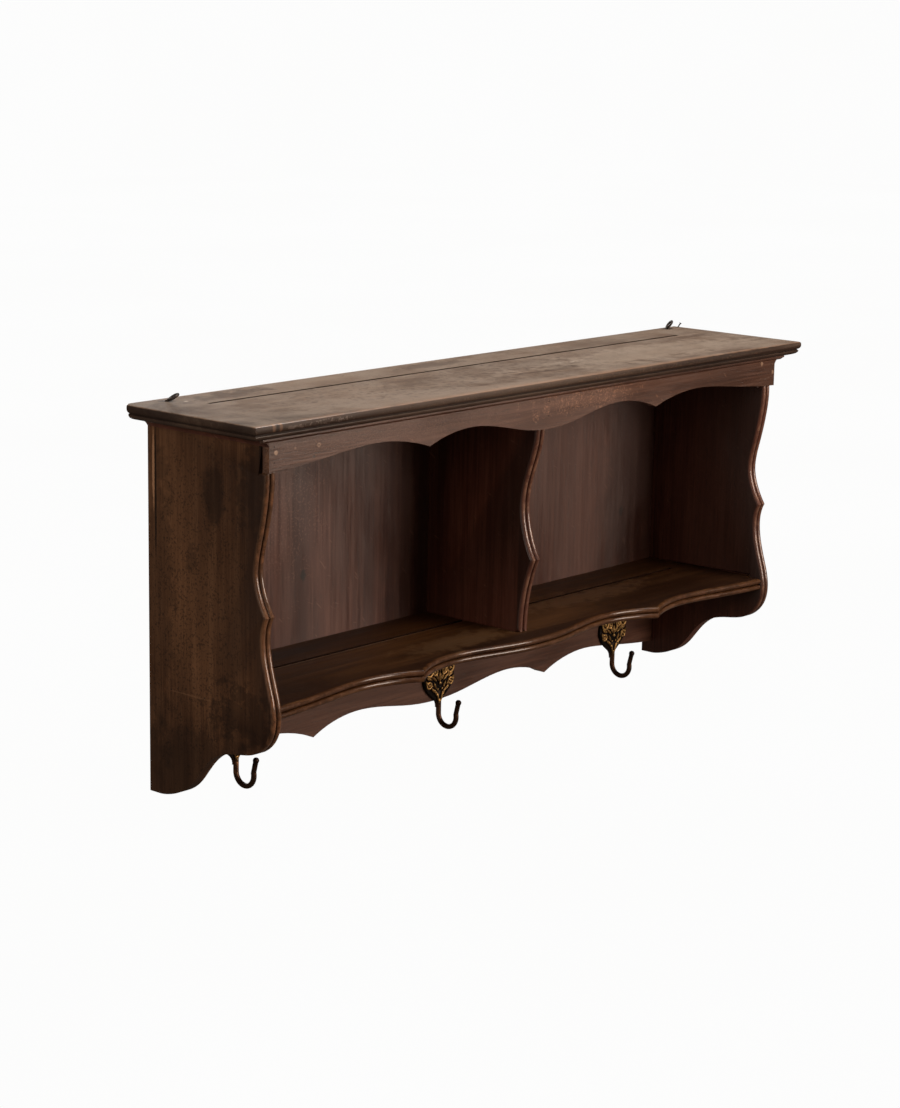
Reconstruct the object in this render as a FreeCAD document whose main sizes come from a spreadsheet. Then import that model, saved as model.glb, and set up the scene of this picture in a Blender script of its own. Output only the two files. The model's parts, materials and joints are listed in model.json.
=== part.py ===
import FreeCAD
import Part
import math
import os
from types import SimpleNamespace

import Sketcher
from FreeCAD import Placement, Rotation, Vector

# Hanging wall shelf: two open bays between scroll-cut sides, a moulded top board, a serpentine lower
# shelf, a scroll-cut frieze, and a rail under the shelf that carries three cast coat hooks.
#
# Frame: X runs along the wall, Y points into the wall, Z is up. The origin is on the wall plane,
# midway along the piece, level with the surface of the lower shelf. Sizes are in millimetres.

SIZES = [
    ("overall_length", 1105.0, "top board, end to end"),
    ("overall_depth", 230.0, "top board, wall to front edge"),
    ("carcass_length", 1026.0, "over the outer faces of the two sides"),
    ("upper_height", 348.0, "shelf surface to top surface"),
    ("foot_drop", 148.0, "shelf surface to the bottom of the feet"),
    ("top_thickness", 19.0, "top board"),
    ("top_edge_radius", 11.0, "quarter round worked under the top board's edge"),
    ("side_thickness", 17.0, "each side"),
    ("divider_thickness", 18.0, "centre divider"),
    ("shelf_thickness", 17.0, "lower shelf"),
    ("frieze_thickness", 11.0, "frieze"),
    ("frieze_setback", 18.0, "top board's front edge to the frieze's face"),
    ("frieze_drop", 43.0, "underside of the top board to the frieze's ends"),
    ("rail_thickness", 18.0, "hook rail"),
    ("rail_height", 112.0, "hook rail at its ends"),
    ("panel_thickness", 9.5, "back panels"),
    ("panel_clearance", 0.5, "room for a back panel to move at each side"),
    ("side_rebate", 8.0, "width of the back rebate in each side"),
    ("divider_rebate", 5.0, "width of the back rebate at each face of the divider"),
    ("housing_depth", 6.0, "depth of every housing"),
    ("divider_setback", 23.0, "divider's foot behind the carcass front line"),
    ("cusp_height", 109.5, "cusp of the sides above the shelf surface"),
    ("waist_height", 157.0, "narrowest place of the sides above the shelf surface"),
    ("groove_width", 6.0, "plate grooves"),
    ("groove_depth", 3.0, "plate grooves"),
    ("groove_end_margin", 80.0, "top groove, short of each end of the top board"),
    ("shelf_groove_margin", 38.0, "shelf groove, short of each side"),
    ("top_groove_setback", 65.0, "top groove's centre line to the wall"),
    ("shelf_groove_setback", 78.0, "shelf groove's centre line to the wall"),
    ("side_bed_height", 11.5, "bed moulding on the sides"),
    ("side_bed_projection", 15.5, "bed moulding on the sides"),
    ("front_bed_height", 6.0, "bed moulding on the frieze"),
    ("front_bed_projection", 5.5, "bed moulding on the frieze"),
    ("hook_side_margin", 106.0, "sides' inner faces to the outer coat hooks, before the offset"),
    ("hook_offset", 5.0, "hooks to the right of centre, as fitted by hand"),
    ("hook_bar_radius", 3.7, "bar of the coat hooks"),
    ("hook_throat_radius", 16.5, "centre line of the hook's bend"),
    ("hook_plate_thickness", 4.0, "back plate of the coat hooks"),
    ("hook_plate_width", 62.0, "back plate at its widest"),
    ("hook_plate_height", 62.0, "back plate from its tail to its crown"),
    ("hook_axis_height", -98.0, "middle of the hook plates, from the shelf surface"),
    ("screw_radius", 1.9, "shanks of the hook screws"),
    ("screw_head_radius", 3.6, "heads of the hook screws"),
    ("screw_length", 14.0, "hook screws"),
    ("nail_radius", 0.9, "finishing nails"),
    ("eye_ring_radius", 6.3, "screw eyes, centre line of the ring"),
    ("eye_wire_radius", 1.6, "screw eyes, wire"),
    ("eye_shank_length", 15.0, "screw eyes, below the top surface"),
    ("eye_left_margin", 53.5, "left screw eye, in from the end of the top board"),
    ("eye_right_margin", 34.5, "right screw eye, in from the end of the top board"),
    ("block_width", 18.0, "glue blocks"),
    ("block_length", 45.0, "glue blocks"),
]

SHEET = "Sizes"

# The straight tail of a hook's shield, below its tapered part.
TAIL_LENGTH = 8.0


# ---------------------------------------------------------------- document helpers

def fill_sheet(doc):
    """Writes the driving dimensions into the sheet and gives them back as plain numbers."""
    sheet = doc.addObject("Spreadsheet::Sheet", SHEET)
    for row, (alias, value, note) in enumerate(SIZES, start=1):
        sheet.set(f"A{row}", alias)
        sheet.set(f"B{row}", str(value))
        sheet.setAlias(f"B{row}", alias)
        sheet.set(f"C{row}", note)
    doc.recompute()
    return SimpleNamespace(**{alias: float(sheet.get(alias)) for alias, _, _ in SIZES})


def bind(feature, **expressions):
    """Binds properties to sheet cells. Every name in an expression that is a size gets the sheet."""
    names = sorted((alias for alias, _, _ in SIZES), key=len, reverse=True)
    for prop, words in expressions.items():
        text = " ".join(f"{SHEET}.{word}" if word in names else word for word in words.split())
        feature.setExpression(prop.replace("__", "."), text)


def origin_plane(body, role):
    return next(feature for feature in body.Origin.OriginFeatures if feature.Role == role)


def new_body(doc, label):
    body = doc.addObject("PartDesign::Body", label)
    body.Label = label
    return body


def new_sketch(body, name, role, offset="0"):
    """A sketch on one of the body's own planes, moved along the plane's normal."""
    sketch = body.newObject("Sketcher::SketchObject", name)
    sketch.AttachmentSupport = [(origin_plane(body, role), "")]
    sketch.MapMode = "FlatFace"
    bind(sketch, AttachmentOffset__Base__z=offset)
    return sketch


def draw_outline(sketch, stretches):
    """Closes an outline. Two points make a straight run, three or more a smooth curve."""
    indices = []
    for points in stretches:
        corners = [Vector(across, along, 0) for across, along in points]
        if len(corners) == 2:
            geometry = Part.LineSegment(*corners)
        else:
            geometry = Part.BSplineCurve()
            geometry.interpolate(corners)
        indices.append(sketch.addGeometry(geometry, False))
    for here, following in zip(indices, indices[1:] + indices[:1]):
        sketch.addConstraint(Sketcher.Constraint("Coincident", here, 2, following, 1))


def draw_polygon(sketch, corners):
    draw_outline(sketch, list(zip(corners, corners[1:] + corners[:1])))


def draw_rectangle(sketch, left, low, right, high):
    draw_polygon(sketch, [(left, low), (right, low), (right, high), (left, high)])


def add_pad(body, sketch, length, backwards=False):
    pad = body.newObject("PartDesign::Pad", sketch.Name + "_pad")
    pad.Profile = sketch
    bind(pad, Length=length)
    pad.Reversed = backwards
    sketch.Visibility = False
    return pad


def add_pocket(body, sketch, depth, forwards=False):
    """Cuts against the sketch's normal, or along it where forwards is set."""
    pocket = body.newObject("PartDesign::Pocket", sketch.Name + "_cut")
    pocket.Profile = sketch
    bind(pocket, Length=depth)
    pocket.Reversed = forwards
    return pocket


def add_cylinder(doc, name, radius, height, place):
    cylinder = doc.addObject("Part::Cylinder", name)
    bind(cylinder, Radius=radius, Height=height)
    cylinder.Placement = place
    return cylinder


def add_group(doc, label, pieces):
    """Identical small pieces kept as separate solids of one sub-part."""
    group = doc.addObject("Part::Compound", label)
    group.Links = pieces
    group.Label = label
    return group


def add_drilled(doc, label, blank, tools):
    """The blank with the holes of everything that is driven into it."""
    cut = doc.addObject("Part::Cut", label)
    cut.Base = blank
    if len(tools) == 1:
        cut.Tool = tools[0]
    else:
        cut.Tool = doc.addObject("Part::Compound", label + "_holes")
        cut.Tool.Links = tools
    cut.Label = label
    return cut


# ---------------------------------------------------------------- levels and lines

def work_out(size):
    """Places that several pieces share, worked out from the driving dimensions."""
    place = SimpleNamespace()
    place.half_carcass = size.carcass_length / 2
    place.half_clear = place.half_carcass - size.side_thickness
    place.under_top = size.upper_height - size.top_thickness
    place.frieze_end = place.under_top - size.frieze_drop
    place.frieze_face = -(size.overall_depth - size.frieze_setback)
    place.front = place.frieze_face + size.frieze_thickness
    place.shelf_front = place.front - 13.5
    place.housing_stop = place.front + 6.0
    place.under_shelf = -size.shelf_thickness
    hook_pitch = place.half_clear - size.hook_side_margin
    place.hook_xs = [size.hook_offset + step * hook_pitch for step in (-1, 0, 1)]
    place.rail_face = -size.rail_thickness
    return place


def scroll(half_length, cusp, crest, outer_crest, cusp_rise, end_rise):
    """One half of the serpentine template shared by the frieze, the rail and the shelf's front.

    Gives the inner curve, from the middle to the cusp, and the outer one, from the cusp to the end,
    as (distance from the middle, rise above the middle) pairs.
    """
    inner_share = ((0.0, 0.0), (0.2, 0.18), (0.4, 0.65), (0.66, 1.0))
    inner = [(cusp * along, crest * rise) for along, rise in inner_share]
    inner.append((cusp * 0.86, cusp_rise + (crest - cusp_rise) * 0.65))
    inner.append((cusp, cusp_rise))
    span = half_length - cusp
    outer = [(cusp, cusp_rise)]
    outer.append((cusp + span * 0.15, cusp_rise + (outer_crest - cusp_rise) * 0.68))
    outer.append((cusp + span * 0.34, outer_crest))
    outer.append((cusp + span * 0.58, end_rise + (outer_crest - end_rise) * 0.68))
    outer.append((cusp + span * 0.8, end_rise + (outer_crest - end_rise) * 0.25))
    outer.append((half_length, end_rise))
    return inner, outer


def scroll_stretches(inner, outer, level):
    """The whole serpentine from the right end to the left, as three smooth curves."""
    right = [(across, level + rise) for across, rise in reversed(outer)]
    left = [(-across, level + rise) for across, rise in outer]
    middle = [(across, level + rise) for across, rise in reversed(inner)]
    middle += [(-across, level + rise) for across, rise in inner[1:]]
    return [right, middle, left]


# ---------------------------------------------------------------- boards

def make_top_board(doc, size):
    body = new_body(doc, "top_board_blank")
    plan = new_sketch(body, "top_plan", "XY_Plane", "upper_height")
    half = size.overall_length / 2
    draw_rectangle(plan, -half, -size.overall_depth, half, 0.0)
    pad = add_pad(body, plan, "top_thickness", backwards=True)
    doc.recompute()
    low = size.upper_height - size.top_thickness
    moulded = []
    for number, edge in enumerate(pad.Shape.Edges, start=1):
        box = edge.BoundBox
        if box.ZMax < low + 0.01 and box.YMin < -0.01:
            moulded.append(f"Edge{number}")
    edge_round = body.newObject("PartDesign::Fillet", "top_moulded_edge")
    edge_round.Base = (pad, moulded)
    bind(edge_round, Radius="top_edge_radius")
    groove = new_sketch(body, "top_groove", "XY_Plane", "upper_height")
    reach = half - size.groove_end_margin
    middle = -size.top_groove_setback
    draw_rectangle(groove, -reach, middle - size.groove_width / 2, reach, middle + size.groove_width / 2)
    add_pocket(body, groove, "groove_depth")
    return body


def side_outline(size, place):
    """The side in its own plane, as (toward the wall, up) points."""
    front = place.front
    lobe = front - 18.0
    bottom = -size.foot_drop
    underside = bottom + 78.0
    heel = -117.0 * size.overall_depth / 230.0
    waist = size.waist_height
    cusp = (front - 6.0, size.cusp_height)
    upper = [
        (front - 5.5, place.frieze_end),
        (front - 2.5, place.frieze_end - 43.0),
        (front + 6.0, waist + 46.0),
        (front + 13.0, waist),
        (front + 6.5, waist - 24.0),
        cusp,
    ]
    lower = [
        cusp,
        (front - 0.2, cusp[1] - 16.0),
        (front, cusp[1] - 43.0),
        (front - 8.5, cusp[1] - 79.0),
        (lobe, underside + 60.0),
        (lobe + 6.0, underside + 30.0),
        (lobe + 28.0, underside + 9.5),
        ((lobe + 36.0 + heel) / 2, underside + 0.5),
        (heel, bottom + 67.0),
        (heel + 20.0, bottom + 49.0),
        (heel + 45.0, bottom + 20.0),
        (heel + 76.0, bottom + 4.0),
        (heel + 97.0, bottom),
    ]
    return [
        [(0.0, place.under_top), (front, place.under_top)],
        [(front, place.under_top), (front, place.frieze_end)],
        [(front, place.frieze_end), upper[0]],
        upper,
        lower,
        [lower[-1], (0.0, bottom)],
        [(0.0, bottom), (0.0, place.under_top)],
    ]


def make_side(doc, size, place, label, hand):
    """A side. The hand is -1 for the left one and +1 for the right one."""
    body = new_body(doc, label + "_blank")
    low_face = "- carcass_length / 2" if hand < 0 else "carcass_length / 2 - side_thickness"
    inner_face = "side_thickness - carcass_length / 2" if hand < 0 else low_face
    outline = new_sketch(body, label + "_outline", "YZ_Plane", low_face)
    draw_outline(outline, side_outline(size, place))
    add_pad(body, outline, "side_thickness")
    housing = new_sketch(body, label + "_housing", "YZ_Plane", inner_face)
    draw_rectangle(housing, place.housing_stop, place.under_shelf, -size.panel_thickness, 0.0)
    add_pocket(body, housing, "housing_depth", forwards=hand > 0)
    rebate = new_sketch(body, label + "_rebate", "YZ_Plane", inner_face)
    draw_rectangle(rebate, -size.panel_thickness, place.under_shelf, 0.0, place.under_top)
    add_pocket(body, rebate, "side_rebate", forwards=hand > 0)
    return body


def make_divider(doc, size, place):
    body = new_body(doc, "centre_divider_blank")
    outline = new_sketch(body, "divider_outline", "YZ_Plane", "- divider_thickness / 2")
    front = place.front
    foot = front + size.divider_setback
    waist = size.waist_height + 19.0
    cusp = (front + 3.0, size.cusp_height - 7.5)
    shoulder = foot + 8.0
    upper = [
        (front, place.frieze_end),
        (front + 4.5, place.frieze_end - 36.0),
        (front + 17.0, waist + 35.0),
        (front + 23.0, waist),
        (front + 17.0, waist - 42.0),
        cusp,
    ]
    lower = [cusp, (front + 11.5, cusp[1] - 24.0), (front + 19.0, cusp[1] - 55.0), (foot, 0.0)]
    housed = -size.housing_depth
    back = -size.panel_thickness
    draw_outline(outline, [
        [(0.0, place.under_top), (front, place.under_top)],
        [(front, place.under_top), (front, place.frieze_end)],
        upper,
        lower,
        [(foot, 0.0), (shoulder, 0.0)],
        [(shoulder, 0.0), (shoulder, housed)],
        [(shoulder, housed), (back, housed)],
        [(back, housed), (back, place.under_shelf)],
        [(back, place.under_shelf), (0.0, place.under_shelf)],
        [(0.0, place.under_shelf), (0.0, place.under_top)],
    ])
    add_pad(body, outline, "divider_thickness")
    for hand, face in ((-1, "- divider_thickness / 2"), (1, "divider_thickness / 2")):
        rebate = new_sketch(body, f"divider_rebate_{'left' if hand < 0 else 'right'}", "YZ_Plane", face)
        draw_rectangle(rebate, back, place.under_shelf, 0.0, place.under_top)
        add_pocket(body, rebate, "divider_rebate", forwards=hand < 0)
    return body


def make_shelf(doc, size, place):
    body = new_body(doc, "bottom_shelf_blank")
    plan = new_sketch(body, "shelf_plan", "XY_Plane")
    half = place.half_clear
    tongue = half + size.housing_depth
    back = -size.panel_thickness
    stop = place.housing_stop
    inner, outer = scroll(half, half * 0.493, 23.5, 19.0, -6.0, -1.0)
    front_curves = scroll_stretches(inner, outer, place.shelf_front)
    end = front_curves[0][0]
    stretches = [
        [(-tongue, back), (tongue, back)],
        [(tongue, back), (tongue, stop)],
        [(tongue, stop), (half, stop)],
        [(half, stop), end],
    ]
    stretches += front_curves
    stretches += [
        [(-end[0], end[1]), (-half, stop)],
        [(-half, stop), (-tongue, stop)],
        [(-tongue, stop), (-tongue, back)],
    ]
    draw_outline(plan, stretches)
    add_pad(body, plan, "shelf_thickness", backwards=True)
    groove = new_sketch(body, "shelf_groove", "XY_Plane")
    reach = half - size.shelf_groove_margin
    middle = -size.shelf_groove_setback
    draw_rectangle(groove, -reach, middle - size.groove_width / 2, reach, middle + size.groove_width / 2)
    add_pocket(body, groove, "groove_depth")
    housing = new_sketch(body, "shelf_housing", "XY_Plane")
    across = size.divider_thickness / 2
    shoulder = place.front + size.divider_setback + 8.0
    draw_rectangle(housing, -across, shoulder, across, back)
    add_pocket(body, housing, "housing_depth")
    return body


def make_frieze(doc, size, place):
    body = new_body(doc, "frieze_blank")
    face = new_sketch(body, "frieze_outline", "XZ_Plane",
                      "overall_depth - frieze_setback - frieze_thickness")
    half = place.half_carcass
    middle_drop = 5.3
    inner, outer = scroll(half, half * 0.452, 20.0, 20.6, 4.5, middle_drop)
    curves = scroll_stretches(inner, outer, place.frieze_end - middle_drop)
    end = curves[0][0]
    top = place.under_top
    stretches = [[(-half, top), (half, top)], [(half, top), end]]
    stretches += curves
    stretches += [[(-end[0], end[1]), (-half, top)]]
    draw_outline(face, stretches)
    add_pad(body, face, "frieze_thickness")
    return body


def make_rail(doc, size, place):
    body = new_body(doc, "hook_rail_blank")
    face = new_sketch(body, "rail_outline", "XZ_Plane")
    half = place.half_clear
    top = place.under_shelf
    end_rise = -1.2
    inner, outer = scroll(half, half * 0.483, 16.2, 15.9, -4.0, end_rise)
    curves = scroll_stretches(inner, outer, top - size.rail_height - end_rise)
    end = curves[0][0]
    stretches = [[(-half, top), (half, top)], [(half, top), end]]
    stretches += curves
    stretches += [[(-end[0], end[1]), (-half, top)]]
    draw_outline(face, stretches)
    add_pad(body, face, "rail_thickness")
    return body


def make_back_panel(doc, size, place, label, hand):
    panel = doc.addObject("Part::Box", label + "_blank")
    width = ("carcass_length / 2 - side_thickness + side_rebate "
             "- divider_thickness / 2 + divider_rebate - 2 * panel_clearance")
    bind(panel, Length=width, Width="panel_thickness",
         Height="upper_height - top_thickness + shelf_thickness - panel_clearance")
    inner_edge = "divider_thickness / 2 - divider_rebate + panel_clearance"
    outer_edge = "- carcass_length / 2 + side_thickness - side_rebate + panel_clearance"
    bind(panel, Placement__Base__x=inner_edge if hand > 0 else outer_edge,
         Placement__Base__y="- panel_thickness", Placement__Base__z="- shelf_thickness")
    return panel


def make_side_bed(doc, size, place, label, hand):
    """A cove moulding in the corner between a side and the top board."""
    body = new_body(doc, label)
    profile = new_sketch(body, label + "_profile", "XZ_Plane")
    near = place.half_carcass
    far = near + size.side_bed_projection
    top = place.under_top
    fillet = 2.5
    bottom = top - size.side_bed_height
    hollow = (near + (far - near) * 0.28, top - fillet - (size.side_bed_height - fillet) * 0.42)
    stretches = [
        [(near, top), (far, top)],
        [(far, top), (far, top - fillet)],
        [(far, top - fillet), (far - 2.0, top - fillet)],
        [(far - 2.0, top - fillet), hollow, (near, bottom)],
        [(near, bottom), (near, top)],
    ]
    draw_outline(profile, [[(hand * across, up) for across, up in points] for points in stretches])
    add_pad(body, profile, "overall_depth - frieze_setback")
    return body


def make_front_bed(doc, size, place):
    """The small moulding along the top of the frieze, over the ends of the side mouldings."""
    body = new_body(doc, "front_bed_moulding")
    profile = new_sketch(body, "front_bed_profile", "YZ_Plane", "- carcass_length / 2 - side_bed_projection")
    back = place.frieze_face
    far = back - size.front_bed_projection
    top = place.under_top
    fillet = 2.5
    bottom = top - size.front_bed_height
    draw_outline(profile, [
        [(back, top), (far, top)],
        [(far, top), (far, top - fillet)],
        [(far, top - fillet), (back - 1.5, bottom + 1.3), (back, bottom)],
        [(back, bottom), (back, top)],
    ])
    add_pad(body, profile, "carcass_length + 2 * side_bed_projection")
    return body


# ---------------------------------------------------------------- coat hooks

def plate_outline(size, middle, crown):
    """The shield of a hook: lobed crown, widest under it, drawn in to the stem at its tail."""
    half = size.hook_plate_width / 2
    tall = size.hook_plate_height
    right = [
        (half * 0.13, crown - tall - TAIL_LENGTH),
        (half * 0.18, crown - tall),
        (half * 0.45, crown - tall * 0.87),
        (half * 0.78, crown - tall * 0.72),
        (half, crown - tall * 0.5),
        (half * 0.93, crown - tall * 0.25),
        (half * 0.55, crown - tall * 0.08),
        (0.0, crown),
    ]
    left = [(-across, up) for across, up in reversed(right)]
    stretches = [right, left, [left[-1], right[0]]]
    return [[(middle + across, up) for across, up in points] for points in stretches]


def make_hook(doc, size, place, label, middle):
    """A cast hook: a shield screwed to the rail and a round bar bent up into a J."""
    body = new_body(doc, label + "_blank")
    crown = size.hook_axis_height + size.hook_plate_height / 2
    tail = crown - size.hook_plate_height - TAIL_LENGTH
    shield = new_sketch(body, label + "_shield", "XZ_Plane", "rail_thickness")
    draw_outline(shield, plate_outline(size, middle, crown))
    add_pad(body, shield, "hook_plate_thickness")
    axis = place.rail_face - size.hook_bar_radius
    bend = size.hook_throat_radius
    bend_level = tail - 8.5
    lean = math.radians(14.0)
    tip_rise = 19.0
    centre = axis - bend
    far = (centre - bend * math.cos(lean), bend_level + bend * math.sin(lean))
    tip = (far[0] - tip_rise * math.sin(lean), far[1] + tip_rise * math.cos(lean))
    path = body.newObject("Sketcher::SketchObject", label + "_path")
    path.AttachmentSupport = [(origin_plane(body, "YZ_Plane"), "")]
    path.MapMode = "FlatFace"
    path.AttachmentOffset = Placement(Vector(0, 0, middle), Rotation())
    start = Vector(axis, tail + 12.0, 0)
    down = Vector(axis, bend_level, 0)
    turn = math.pi + lean / 2
    under = Vector(centre + bend * math.cos(-turn / 2), bend_level + bend * math.sin(-turn / 2), 0)
    path.addGeometry(Part.LineSegment(start, down), False)
    path.addGeometry(Part.Arc(down, under, Vector(*far, 0)), False)
    path.addGeometry(Part.LineSegment(Vector(*far, 0), Vector(*tip, 0)), False)
    path.addConstraint(Sketcher.Constraint("Coincident", 0, 2, 1, 2))
    section = body.newObject("Sketcher::SketchObject", label + "_bar")
    section.AttachmentSupport = [(origin_plane(body, "XY_Plane"), "")]
    section.MapMode = "FlatFace"
    section.AttachmentOffset = Placement(Vector(0, 0, tail + 12.0), Rotation())
    section.addGeometry(Part.Circle(Vector(middle, axis, 0), Vector(0, 0, 1), size.hook_bar_radius), False)
    pipe = body.newObject("PartDesign::AdditivePipe", label + "_bend")
    pipe.Profile = section
    pipe.Spine = path
    return body


def make_hook_screw(doc, size, place, number, across, up):
    """A countersunk screw through a hook's shield into the rail."""
    face = place.rail_face - size.hook_plate_thickness
    into_wood = Rotation(Vector(1, 0, 0), -90)
    shank = add_cylinder(doc, f"hook_screw_shank_{number}", "screw_radius", "screw_length",
                         Placement(Vector(across, face, up), into_wood))
    head = doc.addObject("Part::Cone", f"hook_screw_head_{number}")
    bind(head, Radius1="screw_head_radius", Radius2="screw_radius", Height="hook_plate_thickness / 2")
    head.Placement = Placement(Vector(across, face, up), into_wood)
    screw = doc.addObject("Part::Fuse", f"hook_screw_{number}")
    screw.Base = shank
    screw.Tool = head
    return screw


# ---------------------------------------------------------------- screw eyes, nails and blocks

def make_screw_eye(doc, size, label, across, depth, neck, lean, twist):
    """A wire ring on a threaded shank. It leans forward and to the right by the given angle."""
    surface = Vector(across, depth, size.upper_height)
    heading = Vector(1, -1, 0).normalize()
    tilt = Rotation(Vector(0, 0, 1).cross(heading), lean)
    shank = add_cylinder(doc, label + "_shank", "eye_wire_radius", "eye_shank_length",
                         Placement(surface - Vector(0, 0, size.eye_shank_length), Rotation()))
    stem_place = Placement(surface, tilt)
    knuckle = doc.addObject("Part::Sphere", label + "_knuckle")
    bind(knuckle, Radius="eye_wire_radius")
    knuckle.Placement = stem_place
    stem = doc.addObject("Part::Cylinder", label + "_stem")
    bind(stem, Radius="eye_wire_radius")
    stem.Height = neck
    stem.Placement = stem_place
    ring = doc.addObject("Part::Torus", label + "_ring")
    bind(ring, Radius1="eye_ring_radius", Radius2="eye_wire_radius")
    upright = Rotation(Vector(0, 0, 1), twist).multiply(Rotation(Vector(1, 0, 0), 90))
    centre = surface + tilt.multVec(Vector(0, 0, neck + size.eye_ring_radius))
    ring.Placement = Placement(centre, tilt.multiply(upright))
    eye = doc.addObject("Part::MultiFuse", label)
    eye.Shapes = [shank, knuckle, stem, ring]
    eye.Label = label
    return eye


def make_bent_nail(doc, size):
    """A nail left in the back right-hand corner of the top, bent over."""
    root = Vector(size.overall_length / 2 - 6.0, -10.0, size.upper_height)
    bend = Rotation(Vector(1, 1, 0), 32.0)
    sunk = 10.0
    shank = add_cylinder(doc, "bent_nail_shank", "nail_radius", "10",
                         Placement(root - Vector(0, 0, sunk), Rotation()))
    elbow = doc.addObject("Part::Sphere", "bent_nail_elbow")
    bind(elbow, Radius="nail_radius")
    elbow.Placement = Placement(root, Rotation())
    stem = add_cylinder(doc, "bent_nail_stem", "nail_radius", "7", Placement(root, bend))
    head = add_cylinder(doc, "bent_nail_head", "2 * nail_radius", "1",
                        Placement(root + bend.multVec(Vector(0, 0, 6.5)), bend))
    nail = doc.addObject("Part::MultiFuse", "bent_nail")
    nail.Shapes = [shank, elbow, stem, head]
    nail.Label = "bent_nail"
    return nail


def make_nails(doc, label, heads, turn, length):
    """A row of finishing nails, each from its head along the turned Z axis."""
    pieces = []
    for number, head in enumerate(heads, start=1):
        pieces.append(add_cylinder(doc, f"{label}_{number}", "nail_radius", length, Placement(head, turn)))
    return add_group(doc, label, pieces)


def frieze_nail_heads(size, place):
    middle_of_side = place.half_carcass - size.side_thickness / 2
    levels = (place.under_top - 12.0, place.under_top - 31.0)
    return [Vector(across, place.frieze_face, level)
            for across in (-middle_of_side, 0.0, middle_of_side) for level in levels]


def side_nail_heads(size, place, hand):
    """Nails through a side into the end of the shelf and of the rail."""
    outer = hand * place.half_carcass
    shelf_level = place.under_shelf / 2
    heads = [Vector(outer, depth, shelf_level) for depth in (-40.0, -100.0, place.front + 36.0)]
    rail_middle = place.rail_face / 2
    heads += [Vector(outer, rail_middle, place.under_shelf - drop) for drop in (25.0, 80.0)]
    return heads


def back_nail_heads(size, place):
    heads = []
    in_side = place.half_clear + size.side_rebate / 2
    in_divider = size.divider_thickness / 2 - size.divider_rebate / 2
    rows = 4
    for row in range(rows):
        level = 30.0 + row * (place.under_top - 60.0) / (rows - 1)
        for across in (-in_side, -in_divider, in_divider, in_side):
            heads.append(Vector(across, 0.0, level))
    for share in (0.2, 0.5, 0.8):
        for hand in (-1, 1):
            heads.append(Vector(hand * place.half_clear * share, 0.0, place.under_shelf / 2))
    return heads


def make_glue_blocks(doc, size, place):
    """Blocks in the corners between the uprights and the top board, behind the frieze."""
    inner = place.half_clear
    beside = size.divider_thickness / 2
    lefts = (-inner, -beside - size.block_width, beside, inner - size.block_width)
    rears = (place.front + 4.0, -size.panel_thickness - 6.0 - size.block_length)
    pieces = []
    for left in lefts:
        for rear in rears:
            block = doc.addObject("Part::Box", f"top_block_{len(pieces) + 1}")
            bind(block, Length="block_width", Width="block_length", Height="block_width")
            block.Placement.Base = Vector(left, rear, place.under_top - size.block_width)
            pieces.append(block)
    return add_group(doc, "top_glue_blocks", pieces)


def make_rail_blocks(doc, size, place):
    """Blocks in the corner between the underside of the shelf and the face of the rail."""
    pieces = []
    for middle in (-place.half_clear / 2, place.half_clear / 2):
        block = doc.addObject("Part::Box", f"rail_block_{len(pieces) + 1}")
        bind(block, Length="block_length", Width="block_width", Height="block_width")
        left = middle - size.block_length / 2
        block.Placement.Base = Vector(left, place.rail_face - size.block_width,
                                      place.under_shelf - size.block_width)
        pieces.append(block)
    return add_group(doc, "rail_glue_blocks", pieces)


# ---------------------------------------------------------------- assembly

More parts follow.
